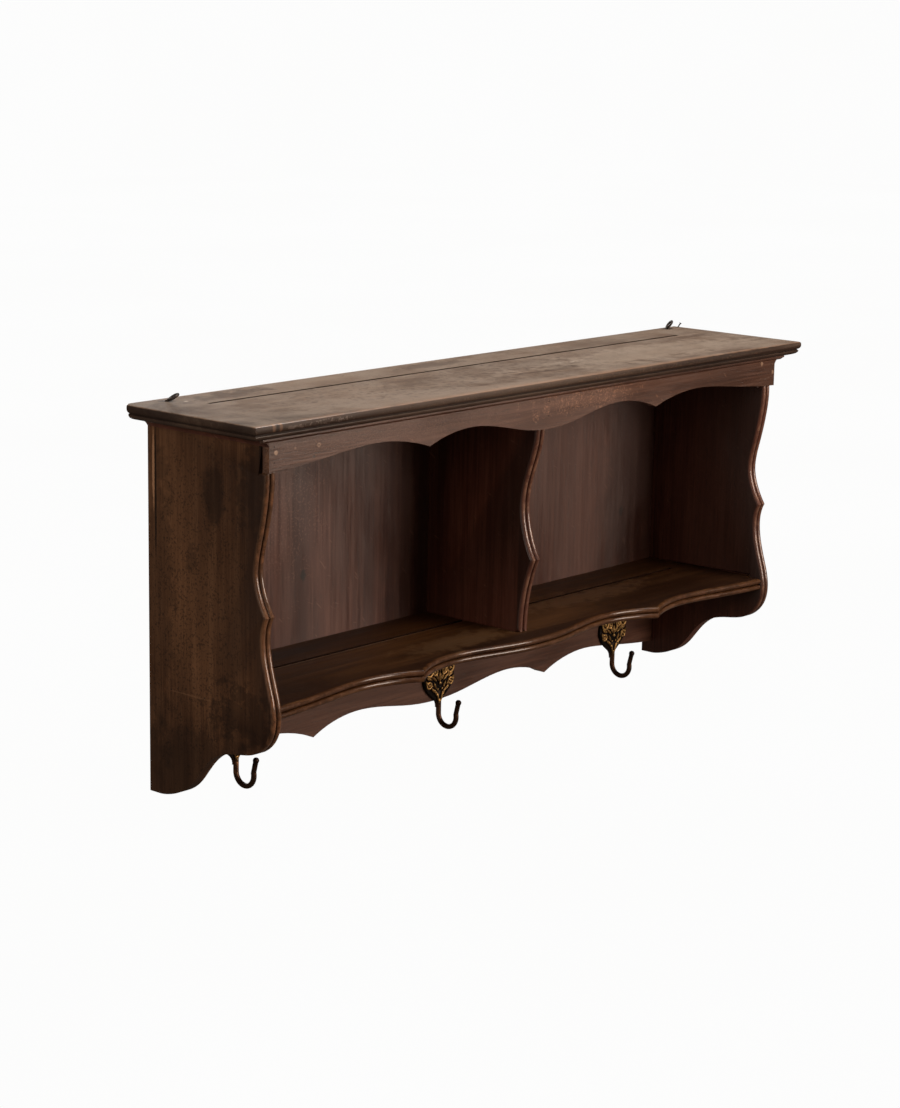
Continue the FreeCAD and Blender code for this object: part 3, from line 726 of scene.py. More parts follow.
@dataclass
class Studio:
    """Camera, soft lights, pale floor and surroundings."""

    eye: Point = (-2.6623, -2.4040, 0.86265)
    azimuth: float = -48.429
    elevation: float = 12.32
    roll: float = 0.979
    lens: float = 86.25
    floor_level: float = -1.15
    target: Point = (0.0, -0.1, 0.1)
    glow: float = 0.985

    def set_camera(self) -> None:
        """Sets up the camera."""
        azimuth, elevation, roll = (math.radians(angle) for angle in
                                    (self.azimuth, self.elevation, self.roll))
        back = Vector((math.sin(azimuth) * math.cos(elevation),
                       -math.cos(azimuth) * math.cos(elevation), math.sin(elevation)))
        right = (-back).cross(Vector((0, 0, 1))).normalized()
        up = right.cross(-back)
        across = right * math.cos(roll) + up * math.sin(roll)
        rise = up * math.cos(roll) - right * math.sin(roll)
        data = bpy.data.cameras.new("view")
        data.lens = self.lens
        data.sensor_width = 36.0
        data.clip_end = 60.0
        camera = bpy.data.objects.new("view", data)
        camera.matrix_world = (Matrix.Translation(self.eye)
                               @ Matrix((across, rise, back)).transposed().to_4x4())
        bpy.context.scene.collection.objects.link(camera)
        bpy.context.scene.camera = camera

    def add_light(self, name: str, place: Point, size: float, power: float,
                  colour: Colour = (1.0, 1.0, 1.0)) -> None:
        """Adds a square soft light.

        Args:
            name: Its name.
            place: Where it stands.
            size: Its side.
            power: In watts.
            colour: Its colour.
        """
        data = bpy.data.lights.new(name, "AREA")
        data.size = size
        data.energy = power
        data.color = colour
        lamp = bpy.data.objects.new(name, data)
        lamp.location = place
        lamp.rotation_euler = (Vector(self.target) - Vector(place)).to_track_quat("-Z", "Y").to_euler()
        bpy.context.scene.collection.objects.link(lamp)

    def pale(self, name: str) -> Material:
        """A plain pale finish that glows evenly."""
        paint = Paint(name)
        cloud = paint.noise(paint.coords, 0.6, 2.0)
        paint.put(paint.shader.inputs["Base Color"], (0.0, 0.0, 0.0))
        paint.put(paint.shader.inputs["Emission Color"],
                  paint.blend(cloud, (0.985, 0.985, 0.98), (1.0, 1.0, 1.0)))
        paint.shader.inputs["Emission Strength"].default_value = self.glow
        paint.shader.inputs["Specular IOR Level"].default_value = 0.0
        return paint.material

    def add_surroundings(self) -> None:
        """Lays a wide pale floor well under the piece and a pale dome round it."""
        Bench.clear()
        bpy.ops.mesh.primitive_circle_add(vertices=96, radius=24.9, fill_type="NGON",
                                          location=(0, 0, self.floor_level))
        floor = Bench.made("studio_floor")
        bpy.ops.mesh.primitive_uv_sphere_add(segments=64, ring_count=32, radius=25.0)
        dome = Bench.made("studio_dome")
        for stage in (floor, dome):
            Bench.settle(stage)
            stage.data.materials.append(self.pale(stage.name))
            stage.visible_diffuse = False
            stage.visible_glossy = False
            stage.visible_shadow = False

    def build(self) -> None:
        """Sets up the whole studio."""
        self.set_camera()
        self.add_surroundings()
        self.add_light("key", (1.1, -2.85, 0.8), 1.5, 72.0, colour=(1.0, 0.83, 0.71))
        self.add_light("top", (0.5, -0.3, 2.9), 2.4, 118.0)
        self.add_light("back", (1.2, 2.7, 0.1), 1.4, 24.0)
        self.add_light("side_fill", (-3.05, -0.62, 0.9), 1.5, 38.0, colour=(1.0, 0.90, 0.80))
        world = bpy.data.worlds.new("surroundings")
        world.use_nodes = True
        world.node_tree.nodes["Background"].inputs["Color"].default_value = (1.0, 0.76, 0.60, 1.0)
        world.node_tree.nodes["Background"].inputs["Strength"].default_value = 0.12
        bpy.context.scene.world = world
        bpy.context.scene.view_settings.view_transform = "Standard"


# ---- the boards


@dataclass
class DoubleBead:
    """Two rounds side by side, worked along the shaped edge of a board."""

    across: Axis
    middle: float
    thickness: float
    here: Where
    strength: Callable[[Vector], float]
    radius: float = 4.0 * MM
    depth: float = 4.4 * MM
    steps: int = 12
    shallowest: float = 0.55

    def sink(self, offset: float) -> float:
        """How far the surface lies under the crest of the rounds.

        Args:
            offset: The distance from the middle of the board's thickness.

        Returns:
            The depth.
        """
        centre = self.thickness / 4
        away = abs(abs(offset) - centre)
        if away >= self.radius:
            return self.depth
        return min(self.depth, self.radius - math.sqrt(self.radius ** 2 - away ** 2))

    def offsets(self) -> list[float]:
        """Places across the thickness where the section needs a line."""
        half = self.thickness / 2
        one_side = [0.0]
        for step in range(self.steps + 1):
            turn = math.pi * step / self.steps
            one_side.append(self.thickness / 4 - self.radius * 0.995 * math.cos(turn))
        one_side = [place for place in one_side if place < half - 0.05 * MM]
        return sorted({-place for place in one_side} | set(one_side))

    def directions(self, piece: Piece) -> dict[tuple[float, ...], Vector]:
        """The outward direction at every corner of the edge, long enough for a true mitre.

        Args:
            piece: The board.

        Returns:
            The directions, by the corner's place in the board's own plane.
        """
        found: dict[tuple[float, ...], list[Vector]] = {}
        for face in piece.data.polygons:
            if abs(face.normal[self.across.value]) > 0.05:
                continue
            for index in face.vertices:
                corner = piece.data.vertices[index].co
                if self.here(corner):
                    found.setdefault(self.key(corner), []).append(face.normal.copy())
        merged = {}
        for key, normals in found.items():
            total = Vector((0, 0, 0))
            for normal in normals:
                total += normal
            total.normalize()
            spread = min(total.dot(normal) for normal in normals)
            merged[key] = total / max(spread, self.shallowest)
        return merged

    def key(self, corner: Vector) -> tuple[float, ...]:
        """A corner's place in the board's own plane, rounded."""
        return tuple(round(corner[axis], 5) for axis in range(3) if axis != self.across.value)

    def relay(self, piece: Piece) -> None:
        """Lays plain strips across the edge, from one face of the board to the other.

        Args:
            piece: The board, in object mode.
        """
        axis = self.across.value
        Bench.pick_faces(piece, lambda centre, normal: abs(normal[axis]) < 0.05 and self.here(centre))
        bpy.ops.mesh.delete(type="FACE")
        Bench.pick_none("EDGE")
        uses: dict[tuple[int, int], int] = {}
        for face in piece.data.polygons:
            for key in face.edge_keys:
                uses[key] = uses.get(key, 0) + 1
        for edge in piece.data.edges:
            ends = [piece.data.vertices[index].co[axis] for index in edge.vertices]
            edge.select = uses.get(edge.key, 0) == 1 \
                and min(ends) > self.middle + self.thickness / 2 - 0.05 * MM
        across = self.across.vector(-self.thickness)
        Bench.edit()
        bpy.ops.mesh.extrude_region_move(TRANSFORM_OT_translate={"value": across})
        bpy.ops.mesh.select_all(action="SELECT")
        bpy.ops.mesh.remove_doubles(threshold=0.02 * MM)
        bpy.ops.mesh.normals_make_consistent(inside=False)
        Bench.leave()

    def work(self, piece: Piece) -> None:
        """Works the rounds into the edge and marks their crests and hollows.

        Args:
            piece: The board, in object mode.
        """
        self.relay(piece)
        directions = self.directions(piece)

        def on_edge(centre: Vector, normal: Vector) -> bool:
            return abs(normal[self.across.value]) < 0.05 and self.here(centre)

        places = [self.middle + offset for offset in self.offsets()]
        Bench.slice_along(piece, self.across, places, on_edge)
        crest, hollow = Bench.marks(piece, "crest", "hollow")
        for vertex in piece.data.vertices:
            outward = directions.get(self.key(vertex.co))
            if outward is None:
                continue
            offset = vertex.co[self.across.value] - self.middle
            strength = self.strength(vertex.co)
            sink = self.sink(offset)
            crest[vertex.index].value = strength * max(0.0, 1.0 - sink / (0.45 * self.depth))
            # The quirk between the rounds gets painted shade, along with grime, through the hollow
            # number.
            hollow[vertex.index].value = strength * max(0.0, sink / self.depth - 0.55) * 2.0
            vertex.co -= outward * sink * strength
        piece.data.update()


@dataclass
class Carcass:
    """The sides, the divider and the lower shelf, with beads along their shaped edges."""

    finish_left: OldWood
    finish_divider: OldWood
    finish_shelf: OldWood
    arris: float = 0.6 * MM
    foot_rise: float = 78 * MM
    lobe_drop: float = 40 * MM
    bead_into_frieze: float = 5.2 * MM
    side_edge: float = -180 * MM
    lobe_edge: float = -188.5 * MM
    divider_edge: float = -172 * MM
    shelf_edge: float = -187 * MM
    groove_from: float = -90 * MM
    groove_to: float = -65 * MM

    def side(self, node: str, frame: dict, finish: OldWood) -> None:
        """Makes one side.

        Args:
            node: The CAD node.
            frame: The loaded frame.
            finish: Its finish.
        """
        low, high = Bench.box(node)
        frieze_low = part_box("frieze")[0][2]
        lobe_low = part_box("bottom_shelf")[0][2] - self.lobe_drop
        foot = low.z + self.foot_rise
        piece = Bench.copy_of(frame["nodes"][node], f"{node}_beaded")
        end_of_frieze = frieze_low + self.bead_into_frieze

        def front(spot: Vector) -> bool:
            beaded = spot.y < self.side_edge and foot - 3 * MM < spot.z < end_of_frieze + 0.4 * MM
            return beaded and (spot.y < self.lobe_edge or spot.z > 0)

        Bench.soften(piece, self.arris, lambda spot: not front(spot)
                     and spot.y < -1 * MM and spot.z < end_of_frieze - 2 * MM)
        bead = DoubleBead(Axis.X, (low.x + high.x) / 2, high.x - low.x, front,
                          lambda spot: ease(spot.z, foot + 2 * MM, lobe_low + 12 * MM))
        bead.work(piece)
        Bench.smooth(piece)
        Bench.hand_over(piece, finish.material(), "carcass_wood", node)

    def divider(self, frame: dict) -> None:
        """Makes the centre divider."""
        low, high = Bench.box("centre_divider")
        frieze_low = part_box("frieze")[0][2]
        piece = Bench.copy_of(frame["nodes"]["centre_divider"], "divider_beaded")

        def front(spot: Vector) -> bool:
            return spot.y < self.divider_edge and -0.2 * MM < spot.z < frieze_low + 6 * MM

        bead = DoubleBead(Axis.X, 0.0, high.x - low.x, front, lambda spot: 1.0)
        bead.work(piece)
        Bench.smooth(piece)
        Bench.hand_over(piece, self.finish_divider.material(), "carcass_wood", "centre_divider")

    def shelf(self, frame: dict) -> None:
        """Makes the serpentine shelf."""
        low, high = Bench.box("bottom_shelf")
        piece = Bench.copy_of(frame["nodes"]["bottom_shelf"], "shelf_beaded")
        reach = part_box("hook_rail")[1][0] + 0.5 * MM

        def front(spot: Vector) -> bool:
            return spot.y < self.shelf_edge and abs(spot.x) < reach

        bead = DoubleBead(Axis.Z, (low.z + high.z) / 2, high.z - low.z, front, lambda spot: 1.0)
        bead.work(piece)
        Bench.slice_along(piece, Axis.Z, [high.z - GROOVE_LIP],
                          lambda centre, normal: abs(normal.z) < 0.5
                          and self.groove_from < centre.y < self.groove_to)
        # Painted shade in the plate groove: its walls get a full hollow number.
        for vertex in piece.data.vertices:
            if vertex.co.y > -100 * MM and -5 * MM < vertex.co.z < -0.2 * MM:
                piece.data.attributes["hollow"].data[vertex.index].value = 1.2
        Bench.smooth(piece)
        Bench.hand_over(piece, self.finish_shelf.material(), "shelf_wood", "bottom_shelf")

    def build(self, frame: dict) -> None:
        """Makes all four boards."""
        self.side("left_side", frame, self.finish_left)
        self.side("right_side", frame, self.finish_divider)
        self.divider(frame)
        self.shelf(frame)


@dataclass
class MouldedTop:
    """The top board, with a nose, a quirk and a small round worked on its front and ends."""

    finish: OldWood
    corner_radius: float = 10.0 * MM
    width: float = 11.5 * MM
    reach: float = 14 * MM
    groove_from: float = -75 * MM
    groove_to: float = -55 * MM
    end_steps: tuple[float, ...] = (0.4, 1.4, 3.0, 5.4, 8.4)

    def template(self) -> list[tuple[float, float]]:
        """The moulding's section, as (depth under the surface, set back from the nose)."""
        return [
            (0.0, 2.6), (0.5, 1.3), (1.4, 0.5), (2.8, 0.1), (4.6, 0.0), (6.6, 0.1), (8.2, 0.7),
            (9.6, 1.8), (10.4, 3.2), (10.9, 4.2), (11.6, 4.2), (12.2, 3.0), (13.4, 2.6),
            (15.0, 3.4), (16.6, 5.0), (17.8, 7.4), (19.0, 11.5),
        ]

    def setback(self, depth: float) -> float:
        """How far the edge lies back at a depth, both in millimetres."""
        section = self.template()
        for (low, first), (high, second) in zip(section, section[1:]):
            if depth <= high:
                return first + (second - first) * (depth - low) / (high - low)
        return section[-1][1]

    def lost_corner(self, inset: float) -> float:
        """How far the worn back corner lies in from the end, at a distance from the back."""
        away = max(0.0, self.corner_radius - inset)
        return self.corner_radius - math.sqrt(self.corner_radius ** 2 - away ** 2)

    def build(self, frame: dict) -> None:
        """Makes the board."""
        low, high = Bench.box("top_board")
        piece = Bench.copy_of(frame["nodes"]["top_board"], "top_board_moulded")
        levels = [high.z - depth * MM for depth, _ in self.template()[1:-1]]

        def edge_face(centre: Vector, normal: Vector) -> bool:
            return abs(normal.z) < 0.999 and (centre.y < low.y + self.reach
                                              or abs(centre.x) > high.x - self.reach)

        Bench.slice_along(piece, Axis.Z, levels, edge_face)
        Bench.slice_along(piece, Axis.Y, [high.y - step * MM for step in self.end_steps],
                          lambda centre, normal: True)
        Bench.slice_along(piece, Axis.Z, [high.z - GROOVE_LIP],
                          lambda centre, normal: abs(normal.z) < 0.5
                          and self.groove_from < centre.y < self.groove_to)
        crest, hollow = Bench.marks(piece, "crest", "hollow")
        for vertex in piece.data.vertices:
            depth = (high.z - vertex.co.z) / MM
            back = self.setback(depth) * MM
            touched = False
            if vertex.co.y < low.y + self.width:
                vertex.co.y = low.y + back
                touched = True
            if abs(vertex.co.x) > high.x - self.width:
                vertex.co.x = math.copysign(high.x - back, vertex.co.x)
                if vertex.co.x < 0.0:
                    vertex.co.x += self.lost_corner(high.y - vertex.co.y)
                touched = True
            if touched:
                crest[vertex.index].value = 0.9 * (0.3 < depth < 1.0) + 0.3 * (13.0 < depth < 15.5)
                # The quirk gets painted shade, along with grime, through the hollow number; the rest of
                # the moulded front and ends below the arris is darkened too.
                hollow[vertex.index].value = 1.1 if 10.7 < depth < 11.8 else 0.74 * (depth > 1.2)
            # Painted shade in the plate groove, 0.2 to 6 mm under the top surface.
            elif 0.2 < depth < 6.0:
                hollow[vertex.index].value = 1.2
        piece.data.update()
        Bench.smooth(piece, 28.0, flats=True)
        Bench.hand_over(piece, self.finish.material(), "top_wood", "top_board")


@dataclass
class ShapedBoards:
    """The frieze and the hook rail."""

    finish_frieze: OldWood
    finish_rail: OldWood
    arris: float = 0.9 * MM

    def board(self, frame: dict, node: str, finish: OldWood) -> None:
        """Makes one board with rubbed arrises.

        Args:
            frame: The loaded frame.
            node: The CAD node.
            finish: Its finish.
        """
        piece = Bench.copy_of(frame["nodes"][node], f"{node}_shaped")
        low, high = Bench.box(node)
        Bench.soften(piece, self.arris, lambda spot: spot.z < high.z - 2 * MM, 3)
        crest, = Bench.marks(piece, "crest")
        for vertex in piece.data.vertices:
            inset = vertex.co.y - low.y
            crest[vertex.index].value = 0.8 * (0.04 * self.arris < inset < 0.96 * self.arris)
        Bench.smooth(piece, flats=True)
        Bench.hand_over(piece, finish.material(), "frieze_wood", node)

    def build(self, frame: dict) -> None:
        """Makes both boards."""
        self.board(frame, "frieze", self.finish_frieze)
        self.board(frame, "hook_rail", self.finish_rail)


# ---- the hooks


@dataclass
class CoatHook:
    """A cast hook: a shield of scrolls and leaves, drawn down into a round bar bent up into a J.

    The ornament is given for the right half, in millimetres from the hook's upright middle line
    and from the level of the shield's widest place.
    """

    finish: OldMetal
    crown_drop: float = 31.0
    relief: float = 5.2
    grain: float = 0.5 * MM
    plate: float = 4.0 * MM
    shield_drop: float = 66 * MM
    tip_half: Point = (4.3 * MM, 4.2 * MM, 4.1 * MM)
    leaves: tuple[tuple[float, float, float, float, float], ...] = (
        (0.0, 21.0, 19.0, 7.0, 0.0), (7.2, 20.0, 17.0, 6.0, 24.0), (14.0, 17.5, 16.0, 5.5, 44.0),
        (0.0, 5.0, 17.0, 6.4, 0.0), (5.8, 5.5, 15.0, 5.0, 30.0), (12.0, 3.5, 16.0, 5.0, 52.0),
        (21.5, 5.0, 14.0, 5.4, 68.0), (17.5, -3.5, 14.0, 4.6, 38.0), (9.5, -7.0, 13.0, 4.6, 26.0),
        (13.5, -12.5, 13.0, 4.8, 44.0), (7.6, -17.5, 14.0, 4.6, 30.0), (3.6, -24.0, 17.0, 3.6, 12.0),
        (27.0, -1.0, 11.0, 5.0, 18.0),
    )
    scrolls: tuple[tuple[float, float, float, float], ...] = (
        (21.0, 14.5, 6.2, 2.0), (9.5, 12.5, 4.2, 1.5), (22.0, -4.5, 4.4, 1.5),
    )
    buds: tuple[tuple[float, float, float], ...] = (
        (21.0, 14.5, 2.6), (9.5, 12.5, 1.9), (0.0, 29.0, 2.6), (28.5, 17.0, 2.4), (22.0, -4.5, 1.9),
        (16.0, 24.5, 2.2), (0.0, -4.0, 2.3), (4.4, -12.5, 1.8),
    )

    def shaped(self, name: str, middle: Vector, half: Point, turn: float) -> Piece:
        """One bud or leaf: a ball drawn out and turned in the shield's plane."""
        Bench.clear()
        bpy.ops.mesh.primitive_uv_sphere_add(segments=20, ring_count=12, radius=1.0, location=middle)
        ball = Bench.made(name)
        ball.scale = half
        ball.rotation_euler = (0.0, math.radians(turn), 0.0)
        Bench.settle(ball)
        return ball

    def ornament(self, middle: float, level: float, face: float) -> list[Piece]:
        """Models the leaves, scrolls and buds of one shield.

        Args:
            middle: The hook's upright middle line.
            level: The height of the shield's widest place.
            face: The front face of the shield's ground.

        Returns:
            The pieces, still apart.
        """
        pieces = []
        for side in (1.0, -1.0):
            for across, up, length, width, turn in self.leaves:
                if side < 0 and across == 0.0:
                    continue
                spot = Vector((middle + side * across * MM, face, level + up * MM))
                half = (width / 2 * MM, self.relief * 0.52 * MM, length / 2 * MM)
                pieces.append(self.shaped("leaf", spot, half, side * turn))
                vein = spot + Vector((0, -self.relief * 0.34 * MM, 0))
                thin = (width * 0.13 * MM, self.relief * 0.36 * MM, length * 0.44 * MM)
                pieces.append(self.shaped("vein", vein, thin, side * turn))
            for across, up, radius, bar in self.scrolls:
                Bench.clear()
                bpy.ops.mesh.primitive_torus_add(
                    major_segments=28, minor_segments=12, major_radius=radius * MM,
                    minor_radius=bar * MM, rotation=(math.radians(90), 0, 0),
                    location=(middle + side * across * MM, face - 1.4 * MM, level + up * MM))
                ring = Bench.made("scroll")
                Bench.settle(ring)
                pieces.append(ring)
            for across, up, radius in self.buds:
                if side < 0 and across == 0.0:
                    continue
                spot = Vector((middle + side * across * MM, face - 1.2 * MM, level + up * MM))
                pieces.append(self.shaped("bud", spot, (radius * MM,) * 3, 0.0))
        return pieces

    def mark(self, piece: Piece, face: float, tail: float) -> None:
        """Marks the rubbed heights and the dirty ground of the casting.

        Args:
            piece: The casting.
            face: The front face of the shield's ground.
            tail: The height where the bar starts.
        """
        crest, hollow, stem = Bench.marks(piece, "crest", "hollow", "stem")
        for vertex in piece.data.vertices:
            spot = vertex.co
            proud = (face - spot.y) / MM
            on_shield = ease(spot.z, tail, tail + 8 * MM) * (proud < 10.0)
            crest[vertex.index].value = on_shield * ease(proud, 1.3, 3.0)
            hollow[vertex.index].value = on_shield * ease(proud, 1.5, 0.4)
            below = ease(spot.z, tail + 6 * MM, tail - 2 * MM)
            upper = ease(spot.z, tail - 26 * MM, tail - 4 * MM) \
                * ease(spot.y, face - 8 * MM, face - 3 * MM)
            stem[vertex.index].value = below * (0.45 + 0.55 * upper)

    def tip(self, node: str, frame: dict) -> Vector:
        """The middle of the bar's upturned end."""
        mesh = frame["nodes"][node].data
        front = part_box(node)[0][1]
        near = [vertex.co for vertex in mesh.vertices if vertex.co.y < front + 9 * MM]
        top = max(spot.z for spot in near)
        rim = [spot for spot in near if spot.z > top - 2.2 * MM]
        total = Vector((0, 0, 0))
        for spot in rim:
            total += spot
        return total / len(rim)

    def build(self, frame: dict, node: str, polish: float) -> None:
        """Makes one hook.

        Args:
            frame: The loaded frame.
            node: The CAD node.
            polish: How far its stem is rubbed bright.
        """
        low, high = Bench.box(node)
        middle = (low.x + high.x) / 2
        level = high.z - self.crown_drop * MM
        face = high.y - self.plate
        tail = high.z - self.shield_drop
        name = node + "_cast"
        piece = Bench.copy_of(frame["nodes"][node], name)
        end = self.shaped("bud", self.tip(node, frame) + Vector((0, 0.3, -1.0)) * MM,
                          self.tip_half, 0.0)
        piece = Bench.join([piece, end, *self.ornament(middle, level, face)], name)
        Bench.apply(piece, "REMESH", mode="VOXEL", voxel_size=self.grain, adaptivity=0.0)
        Bench.apply(piece, "SMOOTH", factor=0.5, iterations=3)
        self.mark(piece, face, tail)
        Bench.take(piece)
        bpy.ops.object.shade_smooth()
        finish = replace(self.finish, name=f"cast_brass_{node}", polish=polish)
        Bench.hand_over(piece, finish.material(), "cast_brass", node)


# ---- finishes


BLACK = (0.010, 0.005, 0.003)
BARE = (0.33, 0.18, 0.10)
FILLER = (0.40, 0.26, 0.17)
STAIN = (0.045, 0.028, 0.020)
PLASTER = (0.50, 0.42, 0.34)
# Dark colour for painted shadows on the back panels.
PAINTED_SHADOW = (0.015, 0.005, 0.003)
TOP_LEVEL = 0.348
SIDE_FACE = -0.513
FRIEZE_FACE = -0.212
PANEL_FACE = -0.0095
TOP = OldWood(
    name="top_wood", grain=Axis.X, deep=(0.052, 0.026, 0.015), middle=(0.110, 0.066, 0.040),
    pale=(0.185, 0.125, 0.085), worn=(0.26, 0.13, 0.065), roughness=0.52, shine=0.30,
    dust=(0.200, 0.150, 0.112), dust_strength=0.78, mottle_strength=0.75, scratches=0.3,
    patches=(
        *on_face(
            Axis.Z, TOP_LEVEL, 0.05,
            ((-0.40, -0.030), (0.085, 0.022), STAIN, 0.6, 0.8),
            ((-0.03, -0.028), (0.065, 0.018), STAIN, 0.5, 0.8),
            ((0.30, -0.040), (0.120, 0.020), (0.050, 0.032, 0.022), 0.35, 0.9)),
        *on_face(
            Axis.Z, TOP_LEVEL, 0.01,
            ((0.145, -0.133), (0.040, 0.009), PLASTER, 0.7, 0.9, 240.0),
            ((-0.05, -0.130), (0.500, 0.090), (0.060, 0.036, 0.024), 0.6, 0.6, 120.0),
            ((0.30, -0.150), (0.250, 0.060), (0.30, 0.23, 0.17), 0.35, 0.8)),
        *on_face(
            # Rust stains with painted shadow round the screw eyes' bases.
            Axis.Z, TOP_LEVEL, 0.05,
            ((-0.499, -0.018), (0.013, 0.010), BLACK, 0.75, 0.6),
            ((0.518, -0.009), (0.013, 0.010), BLACK, 0.75, 0.6)),
        *on_face(
            Axis.Z, TOP_LEVEL, 0.01,
            ((-0.481, -0.035), (0.004, 0.003), PLASTER, 0.8, 0.3)),
        Patch((-0.5225, -0.229, 0.344), (0.0032, 0.007, 0.006), BARE, 0.9, 0.4),
        Patch((-0.5165, -0.229, 0.343), (0.0016, 0.007, 0.008), BLACK, 0.9, 0.3),
        Patch((-0.5110, -0.229, 0.344), (0.0028, 0.007, 0.007), BARE, 0.9, 0.4),
        Patch((-0.490, -0.230, 0.342), (0.013, 0.004, 0.002), (0.40, 0.31, 0.25), 0.6, 0.8),
        Patch((-0.440, -0.230, 0.342), (0.075, 0.004, 0.004), (0.42, 0.33, 0.27), 0.8, 0.5, 420.0),
        Patch((0.10, -0.230, 0.342), (0.45, 0.004, 0.004), (0.32, 0.19, 0.12), 0.5, 0.5, 300.0),
        *on_face(
            Axis.Z, TOP_LEVEL, 0.004,
            ((0.0, -0.226), (0.62, 0.006), (0.24, 0.135, 0.08), 0.45, 0.5)),
    ),
)
LEFT = OldWood(
    name="left_side_wood", grain=Axis.Z, deep=(0.058, 0.024, 0.0105), middle=(0.102, 0.046, 0.021),
    pale=(0.140, 0.068, 0.033), worn=(0.26, 0.11, 0.05), shine=0.16, roughness=0.48, scratches=0.12,
    patches=(
        *on_face(
            Axis.X, SIDE_FACE, 0.02,
            ((-0.117, 0.250), (0.023, 0.045), BLACK, 0.66, 0.35),
            ((-0.185, 0.265), (0.030, 0.065), BLACK, 0.45, 0.9),
            ((-0.078, 0.161), (0.013, 0.022), BLACK, 0.35, 0.7),
            ((-0.165, -0.018), (0.058, 0.045), BLACK, 0.55, 0.8),
            # The side is darker towards the bottom.
            ((-0.110, -0.165), (0.30, 0.150), BLACK, 0.66, 0.25),
            ((-0.090, 0.10), (0.11, 0.24), BLACK, 0.55, 0.9, 340.0),
            ((-0.020, 0.10), (0.030, 0.25), BLACK, 0.35, 0.6),
            # Painted shadow: a black strip for the shaded gap between the side's front edge and the
            # frieze.
            ((-0.1985, 0.308), (0.0046, 0.030), BLACK, 0.97, 0.1)),
        *on_face(
            Axis.X, SIDE_FACE, 0.004,
            ((-0.0100, 0.265), (0.0026, 0.062), BARE, 0.8, 0.25),
            ((-0.0136, 0.240), (0.0022, 0.105), BLACK, 0.95, 0.15),
            ((-0.074, -0.010), (0.045, 0.0013), BARE, 0.14, 0.6)),
    ),
)
INNER = OldWood(
    name="divider_wood", grain=Axis.Z, deep=(0.048, 0.013, 0.007), middle=(0.085, 0.025, 0.014),
    pale=(0.125, 0.043, 0.026), worn=(0.28, 0.15, 0.09), shine=0.34,
)
SHELF = OldWood(
    name="shelf_wood", grain=Axis.X, deep=(0.030, 0.011, 0.0034), middle=(0.058, 0.021, 0.0062),
    pale=(0.115, 0.052, 0.020), worn=(0.13, 0.060, 0.034), shine=0.05, roughness=0.44,
    patches=(
        *on_face(
            Axis.Z, 0.0, 0.01,
            ((-0.10, -0.150), (0.110, 0.035), (0.17, 0.095, 0.045), 0.35, 0.9),
            ((0.36, -0.110), (0.230, 0.13), BLACK, 0.4, 0.6),
            ((0.22, -0.100), (0.160, 0.030), (0.17, 0.090, 0.045), 0.4, 0.9),
            ((-0.42, -0.170), (0.060, 0.025), BLACK, 0.4, 0.8)),
        *on_face(
            Axis.Z, 0.0, 0.003,
            ((-0.25, -0.0822), (0.215, 0.0014), (0.26, 0.16, 0.10), 0.7, 0.2)),
    ),
)
FRIEZE = OldWood(
    name="frieze_wood", grain=Axis.X, deep=(0.048, 0.018, 0.0095), middle=(0.090, 0.036, 0.0195),
    pale=(0.130, 0.060, 0.036), worn=(0.30, 0.14, 0.07), shine=0.66, scratches=0.4, roughness=0.37,
    patches=(
        *on_face(
            Axis.Y, FRIEZE_FACE, 0.01,
            ((-0.502, 0.310), (0.0034, 0.0034), FILLER, 0.85, 0.3),
            ((-0.470, 0.312), (0.0020, 0.0020), FILLER, 0.4, 0.3),
            ((-0.430, 0.311), (0.0034, 0.0034), FILLER, 0.6, 0.3),
            ((-0.430, 0.311), (0.0014, 0.0014), BLACK, 0.8, 0.3),
            ((-0.438, 0.298), (0.0026, 0.0022), BLACK, 0.8, 0.5),
            ((0.481, 0.320), (0.0034, 0.0034), FILLER, 0.6, 0.3),
            ((0.509, 0.306), (0.0034, 0.0034), FILLER, 0.6, 0.3)),
        Patch((-0.513, -0.207, 0.306), (0.006, 0.008, 0.030), (0.05, 0.025, 0.015), 0.7, 0.7),
        *on_face(
            Axis.Y, FRIEZE_FACE, 0.01,
            ((0.08, 0.315), (0.13, 0.020), (0.36, 0.18, 0.10), 0.75, 0.8, 620.0),
            ((-0.30, 0.315), (0.26, 0.026), (0.26, 0.14, 0.09), 0.5, 0.8, 900.0)),
    ),
)
RAIL = OldWood(
    name="rail_wood", grain=Axis.X, deep=(0.048, 0.017, 0.009), middle=(0.085, 0.032, 0.017),
    pale=(0.120, 0.052, 0.030), worn=(0.28, 0.13, 0.07), shine=0.55,
)
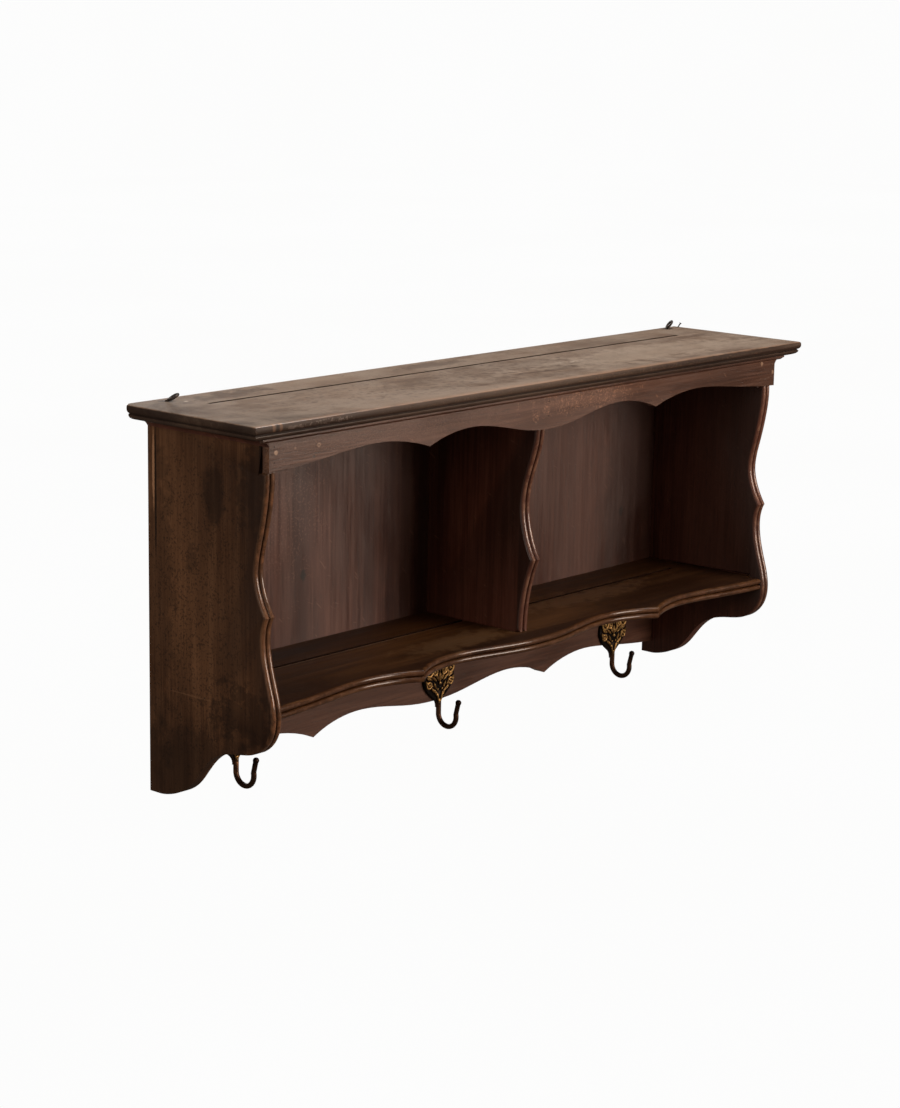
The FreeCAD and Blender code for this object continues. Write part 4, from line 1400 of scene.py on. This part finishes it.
PANEL = OldWood(
    name="panel_wood", grain=Axis.Z, deep=(0.050, 0.014, 0.008), middle=(0.086, 0.028, 0.015),
    pale=(0.135, 0.054, 0.034), worn=(0.34, 0.18, 0.12), shine=0.8, scratches=0.25, roughness=0.38,
    patches=(
        *on_face(
            Axis.Y, PANEL_FACE, 0.01,
            ((-0.305, 0.175), (0.10, 0.09), (0.21, 0.10, 0.065), 0.3, 0.8, 300.0),
            # Painted shade in the left bay's upper left corner, under the frieze.
            ((-0.420, 0.230), (0.060, 0.070), (0.030, 0.010, 0.006), 0.35, 1.0),
            ((-0.252, 0.090), (0.0062, 0.0085), BLACK, 1.0, 0.4),
            ((0.421, 0.082), (0.0062, 0.0085), BLACK, 1.0, 0.4),
            ((0.040, 0.062), (0.0013, 0.022), BLACK, 0.7, 0.4),
            ((0.056, 0.050), (0.0013, 0.026), BLACK, 0.7, 0.4),
            ((0.071, 0.058), (0.0012, 0.020), BLACK, 0.6, 0.4),
            ((0.088, 0.046), (0.0014, 0.024), BLACK, 0.6, 0.4),
            # Painted shadows: the right side's shadow on the right bay and the divider's shadow on the
            # left bay.
            ((0.470, 0.150), (0.110, 0.400), PAINTED_SHADOW, 0.5, 0.2),
            ((-0.030, 0.150), (0.080, 0.400), PAINTED_SHADOW, 0.4, 0.2),
            # Painted shade: the right bay's panel is darkened where the sheen falls off.
            ((0.300, 0.150), (0.360, 0.260), (0.020, 0.007, 0.004), 0.42, 0.4)),
    ),
)
BRASS = OldMetal("cast_brass", (0.026, 0.013, 0.008), (0.78, 0.48, 0.18), rubbed=0.0)
STEEL = OldMetal("old_steel", (0.030, 0.022, 0.018), (0.16, 0.12, 0.09), metallic=0.7, roughness=0.5)


def dress(frame: dict, finish: OldWood | OldMetal, *nodes: str) -> None:
    """Gives CAD nodes whose shape is right their finish.

    Args:
        frame: The loaded frame.
        finish: The finish.
        *nodes: The nodes.
    """
    material = finish.material()
    for node in nodes:
        for slot in frame["nodes"][node].material_slots:
            slot.material = material


def main() -> None:
    """Builds the studio and the piece, and logs each finished piece's face count."""
    logging.basicConfig(level=logging.INFO, format="%(message)s")
    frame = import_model()
    Studio().build()
    Carcass(LEFT, INNER, SHELF).build(frame)
    MouldedTop(TOP).build(frame)
    ShapedBoards(FRIEZE, RAIL).build(frame)
    dress(frame, PANEL, "back_panel_left", "back_panel_right", "top_glue_blocks", "rail_glue_blocks")
    dress(frame, INNER, "left_bed_moulding", "right_bed_moulding")
    dress(frame, FRIEZE, "front_bed_moulding")
    for node, polish in (("hook_left", 1.0), ("hook_middle", 0.12), ("hook_right", 0.08)):
        CoatHook(BRASS).build(frame, node, polish)
    dress(frame, STEEL, "hook_screws", "screw_eye_left", "screw_eye_right", "bent_nail",
          "frieze_nails", "left_side_nails", "right_side_nails", "back_panel_nails")
    Bench.clear()


if __name__ == "__main__":
    main()
